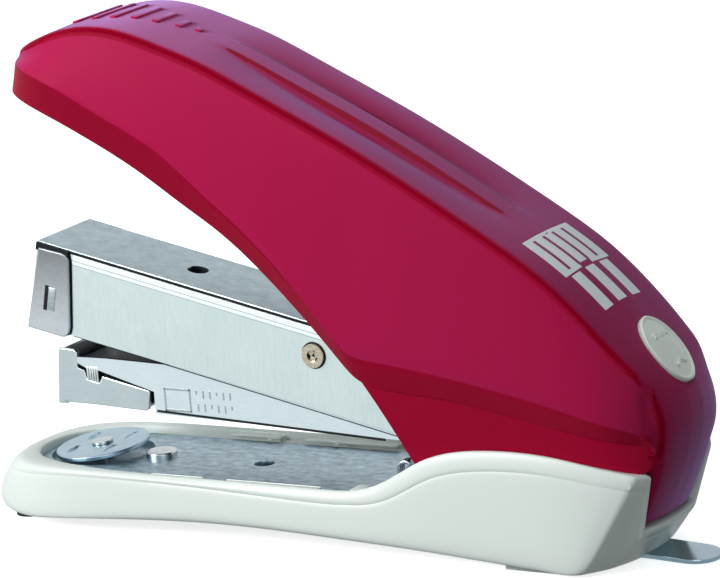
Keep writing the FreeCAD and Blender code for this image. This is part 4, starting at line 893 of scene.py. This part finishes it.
BASE_PLAN = NOSE_PLAN + [((x, 17.5), (x, 17.1), (x, half)) for x, half in STRAIGHT_PLAN] + STERN_PLAN
NOSE_BOW = 1.2
NOSE_BOW_LENGTH = 18.0
PARTING_GROOVE = 0.22
# Stations that have square edges, counted from the nose.
FIRST_NOTCH_STATION = 27
LAST_CHEEK_STATION = 26
CHEEK_CORNER_STATION = 24


def base_section(index):
    """One section of the base's wall, from the underside up the outside and down the inside."""
    (foot_x, foot_half), (rim_x, rim_half), (open_x, open_half) = BASE_PLAN[index]
    bottom = on_line(BASE_BOTTOM, foot_x)
    top = on_line(BASE_TOP, rim_x)
    seam = on_line(PARTING, rim_x)
    if index >= FIRST_NOTCH_STATION:
        top = NOTCH_FLOOR
        seam = NOTCH_FLOOR - 2.0
    foot = Vector((foot_x, -foot_half, bottom))
    rim = Vector((rim_x, -rim_half, top))
    opening = Vector((open_x, -open_half, top))
    inwards = opening - rim
    inwards.z = 0.0
    wall = inwards.length
    inwards.normalize()
    lean = rim - foot
    nose_share = max(0.0, 1.0 - foot_x / NOSE_BOW_LENGTH)

    def on_side(height):
        """The outside surface at a height: a bow at the nose, straight elsewhere."""
        t = (height - bottom) / (top - bottom)
        bow = nose_share * NOSE_BOW * math.sin(math.pi * min(max(t, 0.0), 1.0))
        return foot + lean * t - inwards * bow

    points = [foot + inwards * 3.2 + Vector((0, 0, 0.5)), foot + inwards * 1.4]
    points += [on_side(bottom + 0.7), on_side(bottom + (seam - bottom) * 0.5), on_side(seam - 0.55)]
    groove = on_side(seam) + inwards * PARTING_GROOVE
    points += [groove, on_side(seam + 0.5) - inwards * 0.05]
    height = top - seam
    points += [on_side(seam + height * 0.62) + inwards * 0.12, rim + inwards * min(0.75, wall * 0.3),
               rim + inwards * (wall * 0.55) + Vector((0, 0, 0.1)), opening - inwards * 0.25,
               Vector((open_x, -open_half, top - 0.7))]
    deep = PLATE_TOP - 1.4 if index < FIRST_NOTCH_STATION else bottom + 2.0
    points.append(Vector((open_x, -open_half, min(deep, top - 1.5))))
    return points


def make_base():
    form = bmesh.new()
    rows = sweep(form, [base_section(index) for index in range(len(BASE_PLAN))])
    # Counted from the underside: the foot, the parting line, the opening's edge and the lower edge inside.
    for place, weight in ((1, 0.3), (5, 0.8), (10, 0.3), (12, 1.0)):
        crease_line(form, rows, place, weight)
    # The cheeks end in an upright edge, and the notch between them has square corners.
    for index, weight in ((CHEEK_CORNER_STATION, 0.8), (LAST_CHEEK_STATION, 0.9),
                          (FIRST_NOTCH_STATION, 0.9)):
        crease_edges(form, list(zip(rows[index], rows[index][1:])), weight)
    mirror_across(form)
    settle(form)
    layer = form.edges.layers.float["crease_edge"]
    rims = [edge for edge in form.edges if edge.is_boundary]
    for edge in rims:
        edge[layer] = 1.0
    bmesh.ops.holes_fill(form, edges=rims)
    bmesh.ops.recalc_face_normals(form, faces=form.faces)
    piece = add_piece(form, "base_moulding", "base", IVORY_ABS, ["base_shell"])
    add_subdivision(piece, 2)
    finish_mesh(piece)


make_base()

# ---- Sheet metal and small parts that keep the part's own shape
for node, body, material, slot_name, width in (
        ("base_plate", "base", ZINC, "plate_zinc", 0.15),
        ("plate_clips", "base", CLIP_ABS, "clip_plastic", 0.3),
        ("staple_remover", "base", CHROME, "remover_steel", 0.2),
        ("core_rail", "tray", DARK_STEEL_AND_SHADE, "tray_steel", 0.12),
        ("follower", "follower", DARK_STEEL_AND_SHADE, "follower_steel", 0.15),
        ("driver_blade", "driver", DARK_STEEL_AND_SHADE, "frame_steel", 0.08),
        ("handle_frame", "handle", BRIGHT_STEEL, "frame_steel", 0.15),
        ("return_spring", "driver", BRIGHT_STEEL, "spring_steel", 0.1),
        ("release_latch", "latch", BRIGHT_STEEL, "tray_steel", 0.1)):
    rounded_copy(node, body, material, width)

for node, material in (
        ("plate_rivets", BRIGHT_STEEL), ("remover_rivet", BRIGHT_STEEL), ("hinge_pin", BRIGHT_STEEL),
        ("front_foot", RUBBER), ("rear_feet", PALE_RUBBER), ("anvil_disc", ANVIL_STEEL),
        ("anvil_spindle", BRIGHT_STEEL), ("guide_rod", BRIGHT_STEEL), ("staple_strip", SHADED_STRIP_STEEL),
        ("tube_eyelets", BRASS), ("button_spring", BRIGHT_STEEL)):
    nodes[node].data.materials.clear()
    nodes[node].data.materials.append(material)

# These springs, which the piece that moves onto them presses together, keep their own shape in meshes of
# their own.
sprung_copy("follower_spring", "tray")
sprung_copy("anvil_spring", "base")
sprung_copy("lift_spring", "base")

HOUSING_PLACE = pitched_place(HOUSING_PITCH, HOUSING_REACH, HOUSING_ABOVE_PIN)
MAGAZINE_PLACE = pitched_place(MAGAZINE_PITCH, MAGAZINE_REACH, -MAGAZINE_BELOW_PIN)
# How far a raised or darkened strip reaches into the sheet that it lies on.
SUNK = 0.2
# The housing's strips are given from its front and its top, as (first, last, low, high, proud).
HOUSING_SHADE_STRIPS = [(8.0, HOUSING_REACH - 2.0, -0.72, -0.2, 0.05),
                  (10.6, HOUSING_REACH - 4.0, -HOUSING_HEIGHT - 0.02, -HOUSING_HEIGHT + 0.07, 0.05),
                  (1.0, 8.0, -1.6, -0.15, 0.5)]
HOUSING_HIGHLIGHTS = [(8.9, HOUSING_REACH - 2.0, -1.8, -0.75, 0.04),
                   (8.9, HOUSING_REACH - 2.0, -2.6, -1.92, 0.03)]
HOUSING_LINES = [(8.9, HOUSING_REACH - 2.0, -1.92, -1.8, 0.03),
                 (8.9, HOUSING_REACH - 2.0, -2.72, -2.6, 0.03)]
EAR_SHADOW = [(8.2, -0.6), (8.75, -2.1), (10.2, -14.6), (10.0, -15.9), (9.3, -16.4), (6.0, -16.2),
           (6.0, -0.6)]


def add_strips(form, half, strips, ease=0.0, segments=2):
    """Thin strips on both sides of a channel of this half width."""
    for side in (-1, 1):
        for first, last, low, high, proud in strips:
            near, far = across(side, half + proud, half - SUNK)
            add_block(form, (first, near, low), (last, far, high), ease, segments)


def add_on_housing(form, name, material, replaced=()):
    """A piece of the driver, drawn in the housing's own axes."""
    bmesh.ops.transform(form, matrix=HOUSING_PLACE, verts=form.verts)
    settle(form)
    return add_piece(form, name, "driver", material, replaced)


def strips_on_housing(name, material, half, strips, ease=0.0):
    form = bmesh.new()
    add_strips(form, half, strips, ease)
    add_on_housing(form, name, material)


def make_housing():
    piece = rounded_copy("driver_housing", "driver", NICKEL, 0.22)
    inner = HOUSING_HALF - 0.3
    # The top faces take a darker nickel and the inner faces near black, both as painted shade.
    paint_faces(piece, DARK_NICKEL_AND_SHADE, HOUSING_PLACE, lambda centre, normal: normal.z > 0.8 and centre.z > -0.4)
    paint_faces(piece, DARK_STEEL_AND_SHADE, HOUSING_PLACE, lambda centre, normal: abs(centre.y) < inner
                and (centre.y * normal.y < -0.1 or normal.z < -0.8))
    # Dark strips are painted shade in the joint under the top plate's rolled edge, along the lower edge and
    # at the front, and a dark plate behind the front plate's ear is its painted shadow.
    form = bmesh.new()
    add_strips(form, HOUSING_HALF, HOUSING_SHADE_STRIPS)
    for side in (-1, 1):
        add_plate(form, EAR_SHADOW, *across(side, HOUSING_HALF + 0.05, HOUSING_HALF + 0.05 - SUNK))
    add_on_housing(form, "housing_painted_shade", DARK_STEEL_AND_SHADE)
    # Below the joint a paler strip is a painted highlight on the rolled edge, with two drawn lines under
    # that.
    strips_on_housing("housing_painted_highlight", HIGHLIGHT_NICKEL, HOUSING_HALF, HOUSING_HIGHLIGHTS)
    strips_on_housing("housing_lines", DARK_NICKEL_AND_SHADE, HOUSING_HALF, HOUSING_LINES)


# The front plate from the side, in the housing's axes: its ear, its front, a dark strip as painted shade in
# its slot, and a strip for its tab.
EAR = [(1.65, -1.0), (6.6, -0.8), (7.5, -0.95), (8.1, -1.4), (8.4, -2.1), (9.9, -14.6), (9.75, -15.8),
       (9.2, -16.5), (8.4, -16.75), (0.8, -16.8)]
FRONT = [(1.65, -1.0), (0.8, -16.8), (1.5, -16.8), (2.35, -1.0)]
PLATE_HALF = HOUSING_HALF + 0.75
PLATE_SLOT_SHADE = [(3.9, 4.7, -12.5, -7.7, 0.02)]
PLATE_TAB = [(4.8, 6.3, -12.3, -7.9, 0.12)]


def make_front_plate():
    form = bmesh.new()
    for side in (-1, 1):
        add_plate(form, EAR, *across(side, PLATE_HALF, HOUSING_HALF + 0.1))
    add_plate(form, FRONT, 0.01 - PLATE_HALF, PLATE_HALF - 0.01)
    piece = add_on_housing(form, "front_plate_pressing", SHADED_FRONT_STEEL, ["front_plate"])
    add_bevel(piece, 0.3, 3)
    finish_mesh(piece)
    strips_on_housing("plate_slot_shade", DARK_STEEL_AND_SHADE, PLATE_HALF, PLATE_SLOT_SHADE)
    strips_on_housing("plate_tabs", BRIGHT_STEEL, PLATE_HALF, PLATE_TAB, 0.1)


# The eyelet's middle, in the housing's axes, and its rim and one petal as (radius, height).
EYELET_PLACE = (61.0, -5.9)
EYELET_RIM = [(2.25, 0.0), (2.2, 0.35), (2.0, 0.45), (1.8, 0.35), (1.75, 0.0)]
EYELET_PETAL = [(0.25, -0.1), (1.8, -0.1), (1.8, 0.12), (0.25, 0.05)]


def make_eyelets():
    """The curled ends of the cross tube: a rolled rim with three petals turned in over a dark disc, which
    is painted shade in the bore and round the rim.
    """
    rims = bmesh.new()
    shade_discs = bmesh.new()
    behind, below = EYELET_PLACE
    for side in (-1, 1):
        place = (HOUSING_PLACE @ Matrix.Translation((behind, side * (HOUSING_HALF + 0.05), below))
                 @ Matrix.Rotation(math.radians(-90.0 * side), 4, "X"))
        add_oval(rims, EYELET_RIM, (1.0, 1.0), place)
        for petal in range(3):
            before = set(rims.verts)
            add_plate(rims, EYELET_PETAL, -0.5, 0.5)
            place_new(rims, before, place @ Matrix.Rotation(math.radians(25.0 + 120.0 * petal), 4, "Z"))
        bmesh.ops.create_circle(shade_discs, cap_ends=True, segments=32, radius=2.5,
                                matrix=place @ Matrix.Translation((0, 0, 0.02)))
    settle(rims)
    add_piece(rims, "eyelet_rims", "driver", BRASS)
    add_piece(shade_discs, "eyelet_painted_shade", "driver", DARK_STEEL_AND_SHADE)


# Raised marks pressed from inside the magazine, as (first, last) behind the nose, (low, high) above the
# desk, and how far they stand proud: a square, and strokes in two rows that are given by their tops.
MARK_PROUD = 0.1
SQUARE_MARK = [(43.0, 48.8, 22.2, 22.6, MARK_PROUD), (43.0, 48.8, 26.2, 26.6, MARK_PROUD),
               (43.0, 43.4, 22.2, 26.6, MARK_PROUD), (48.4, 48.8, 22.2, 26.6, MARK_PROUD)]
STROKE_TOPS = (26.5, 24.0)
STROKE_START = 49.9
STROKE_STEP = 1.45
STROKE_WIDTH = 0.32
LOWER_LIP_SHADE = [(41.2, 21.84), (89.3, 19.58), (89.3, 20.03), (41.2, 22.29)]


def stroke_marks():
    """Six strokes in each row, some of them short, with the lower row set back a little."""
    marks = []
    for row, top in enumerate(STROKE_TOPS):
        for stroke in range(6):
            first = STROKE_START + stroke * STROKE_STEP + 0.2 * row
            tall = 1.5 if (stroke + row) % 3 else 0.8
            marks.append((first, first + STROKE_WIDTH, top - tall, top, MARK_PROUD))
    return marks


def make_magazine():
    piece = rounded_copy("magazine_channel", "magazine", BLUE_NICKEL, 0.18)
    inner = MAGAZINE_HALF - 0.3
    # The inner faces are painted near black as painted shade.
    paint_faces(piece, DARK_STEEL_AND_SHADE, MAGAZINE_PLACE, lambda centre, normal: abs(centre.y) < inner
                and (centre.y * normal.y < -0.1 or abs(normal.z) > 0.8))
    form = bmesh.new()
    add_strips(form, MAGAZINE_HALF, SQUARE_MARK, 0.08, 1)
    add_strips(form, MAGAZINE_HALF, stroke_marks(), 0.06, 1)
    settle(form)
    add_piece(form, "magazine_marks", "magazine", BRIGHT_STEEL)
    # The lower edge gets a dark strip as painted shade under its turned-in lip.
    form = bmesh.new()
    for side in (-1, 1):
        add_plate(form, LOWER_LIP_SHADE, *across(side, MAGAZINE_HALF + 0.04, MAGAZINE_HALF - SUNK))
    settle(form)
    add_piece(form, "magazine_lip_shade", "magazine", DARK_STEEL_AND_SHADE)


# The tray's head from the side, as (behind the nose, above the desk).
HEAD_SIDE = [(20.6, 32.8), (23.9, 32.7), (24.7, 32.1), (24.5, 29.3), (26.0, 28.8), (26.3, 27.2),
             (29.0, 26.6), (29.8, 27.9), (39.7, 25.8), (40.0, 25.5), (39.4, 22.2), (38.6, 21.9),
             (20.9, 22.7), (20.5, 22.2), (19.5, 22.2)]
HEAD_HALF = 7.58
HEAD_SHEET = 0.8
STAPLE_LEGS = 5
LEG_STEP = 0.52
LEG_WIDTH = 0.42


def make_tray_head():
    """The pressed head that pulls the staple tray out: two cheeks, a front and a floor."""
    front, top = HEAD_SIDE[0]
    rear, low = HEAD_SIDE[-4]
    foot = HEAD_SIDE[-1][1]
    form = bmesh.new()
    for side in (-1, 1):
        add_plate(form, HEAD_SIDE, *across(side, HEAD_HALF, HEAD_HALF - HEAD_SHEET))
    add_block(form, (front, -HEAD_HALF + 0.05, foot), (front + HEAD_SHEET, HEAD_HALF - 0.05, top - 0.3))
    add_plate(form, [(front, foot + 0.3), (rear, low + 0.2), (rear, low + 0.9), (front, foot + 1.0)],
              -HEAD_HALF + 0.1, HEAD_HALF - 0.1)
    settle(form)
    piece = add_piece(form, "tray_head_pressing", "tray", TRAY_STEEL, ["tray_head"])
    add_bevel(piece, 0.18)
    finish_mesh(piece)
    # The first staples' legs show in the notch of the cheeks.
    (_, leg_top), (notch, leg_foot) = HEAD_SIDE[4:6]
    form = bmesh.new()
    for side in (-1, 1):
        near, far = across(side, MAGAZINE_HALF + 0.05, MAGAZINE_HALF - 0.3)
        for leg in range(STAPLE_LEGS):
            x = notch + 0.1 + leg * LEG_STEP
            add_block(form, (x, near, leg_foot - 1.0), (x + LEG_WIDTH, far, leg_top + 0.8), 0.1)
    settle(form)
    add_piece(form, "front_staples", "tray", STAPLE_STEEL)


# Ledges inside the base, just above the plate, as (first, last) behind the nose.
RAILS = [(42.6, 53.8), (58.8, 78.8)]
# A small post on the inner side of each ledge, given in the same way.
RAIL_POSTS = [(51.4, 52.1), (65.8, 66.5)]
RAIL_HALVES = (16.0, 13.4)
POST_HALVES = (13.6, 12.4)


def make_rails():
    form = bmesh.new()
    for side in (-1, 1):
        near, far = across(side, *RAIL_HALVES)
        for first, last in RAILS:
            add_block(form, (first, near, RIVET_TOP - 0.4), (last, far, RIM - 0.5), 0.25)
        near, far = across(side, *POST_HALVES)
        for first, last in RAIL_POSTS:
            add_block(form, (first, near, RIVET_TOP - 0.6), (last, far, RIM - 0.7), 0.15)
    settle(form)
    add_piece(form, "base_rails", "base", IVORY_ABS)


make_tray_head()
make_rails()
make_housing()
make_front_plate()
make_eyelets()
make_magazine()


# ---- Studio: a white floor and surroundings, a soft key ahead and to the right, and two weak fills

FLOOR_HALF = 3.0


def white_paper():
    """Matt paper that looks white itself, pale in a shiny surface, and throws little light back."""
    material = bpy.data.materials.new("white_paper")
    material.use_nodes = True
    tree = material.node_tree
    tree.nodes.clear()
    seen = add_node(tree, "ShaderNodeLightPath")
    matte = add_node(tree, "ShaderNodeBsdfDiffuse", {"Color": linear("#ffffff")})
    pale = add_node(tree, "ShaderNodeBsdfDiffuse", {"Color": linear("#5e6260")})
    glow = add_node(tree, "ShaderNodeEmission", {"Color": linear("#ffffff"), "Strength": 0.75})
    mirrored = add_node(tree, "ShaderNodeEmission", {"Color": linear("#dbe2e2"), "Strength": 1.0})
    both = add_node(tree, "ShaderNodeAddShader", links={0: matte.outputs[0], 1: glow.outputs[0]})
    indirect = add_node(tree, "ShaderNodeMixShader",
                        links={0: seen.outputs["Is Glossy Ray"], 1: pale.outputs[0],
                               2: mirrored.outputs[0]})
    pick = add_node(tree, "ShaderNodeMixShader",
                    links={0: seen.outputs["Is Camera Ray"], 1: indirect.outputs[0], 2: both.outputs[0]})
    add_node(tree, "ShaderNodeOutputMaterial", links={"Surface": pick.outputs[0]})
    return material


def make_floor():
    form = bmesh.new()
    bmesh.ops.create_grid(form, x_segments=1, y_segments=1, size=FLOOR_HALF)
    mesh = bpy.data.meshes.new("floor")
    form.to_mesh(mesh)
    form.free()
    floor = bpy.data.objects.new("floor", mesh)
    bpy.context.scene.collection.objects.link(floor)
    floor.location.z = cad_low.z
    mesh.materials.append(white_paper())


def make_world():
    world = bpy.data.worlds.new("studio")
    bpy.context.scene.world = world
    world.use_nodes = True
    tree = world.node_tree
    tree.nodes.clear()
    path = add_node(tree, "ShaderNodeLightPath")
    shown = add_node(tree, "ShaderNodeMath", {"operation": "MAXIMUM"},
                     {0: path.outputs["Is Camera Ray"], 1: path.outputs["Is Glossy Ray"]})
    shown = add_node(tree, "ShaderNodeMath", {"operation": "MAXIMUM"},
                     {0: shown.outputs[0], 1: path.outputs["Is Transmission Ray"]})
    plain = add_node(tree, "ShaderNodeBackground", {"Color": linear("#d2e4ec"), "Strength": 0.17})
    white = add_node(tree, "ShaderNodeBackground", {"Color": linear("#ffffff"), "Strength": 1.0})
    pick = add_node(tree, "ShaderNodeMixShader",
                    links={0: shown.outputs[0], 1: plain.outputs[0], 2: white.outputs[0]})
    add_node(tree, "ShaderNodeOutputWorld", links={"Surface": pick.outputs[0]})


def add_lamp(name, place, size, watts):
    lamp = bpy.data.lights.new(name, "AREA")
    lamp.shape = "SQUARE"
    lamp.size = size
    lamp.energy = watts
    holder = bpy.data.objects.new(name, lamp)
    holder.location = place
    holder.rotation_euler = (VIEW_TARGET - Vector(place)).to_track_quat("-Z", "Y").to_euler()
    bpy.context.scene.collection.objects.link(holder)


def make_camera():
    back = Vector((math.sin(VIEW_AZIMUTH) * math.cos(VIEW_ELEVATION),
                   -math.cos(VIEW_AZIMUTH) * math.cos(VIEW_ELEVATION), math.sin(VIEW_ELEVATION)))
    lens = bpy.data.cameras.new("camera")
    lens.lens = VIEW_LENS
    lens.sensor_width = VIEW_SENSOR
    lens.clip_start = 0.05
    lens.clip_end = 20.0
    camera = bpy.data.objects.new("camera", lens)
    bpy.context.scene.collection.objects.link(camera)
    right = Vector((math.cos(VIEW_AZIMUTH), math.sin(VIEW_AZIMUTH), 0))
    level = Matrix((right, back.cross(right), back)).transposed().to_4x4()
    camera.matrix_world = (Matrix.Translation(VIEW_TARGET + back * VIEW_DISTANCE) @ level
                           @ Matrix.Rotation(VIEW_ROLL, 4, "Z"))
    bpy.context.scene.camera = camera


make_floor()
make_world()
add_lamp("key", (-0.41, -0.56, 0.36), 0.3, 5.8)
add_lamp("back_fill", (0.2, 0.15, 0.95), 0.5, 2.0)
add_lamp("stern_fill", (0.45, -0.6, 0.2), 0.4, 1.0)
make_camera()
bpy.context.scene.view_settings.view_transform = "Standard"
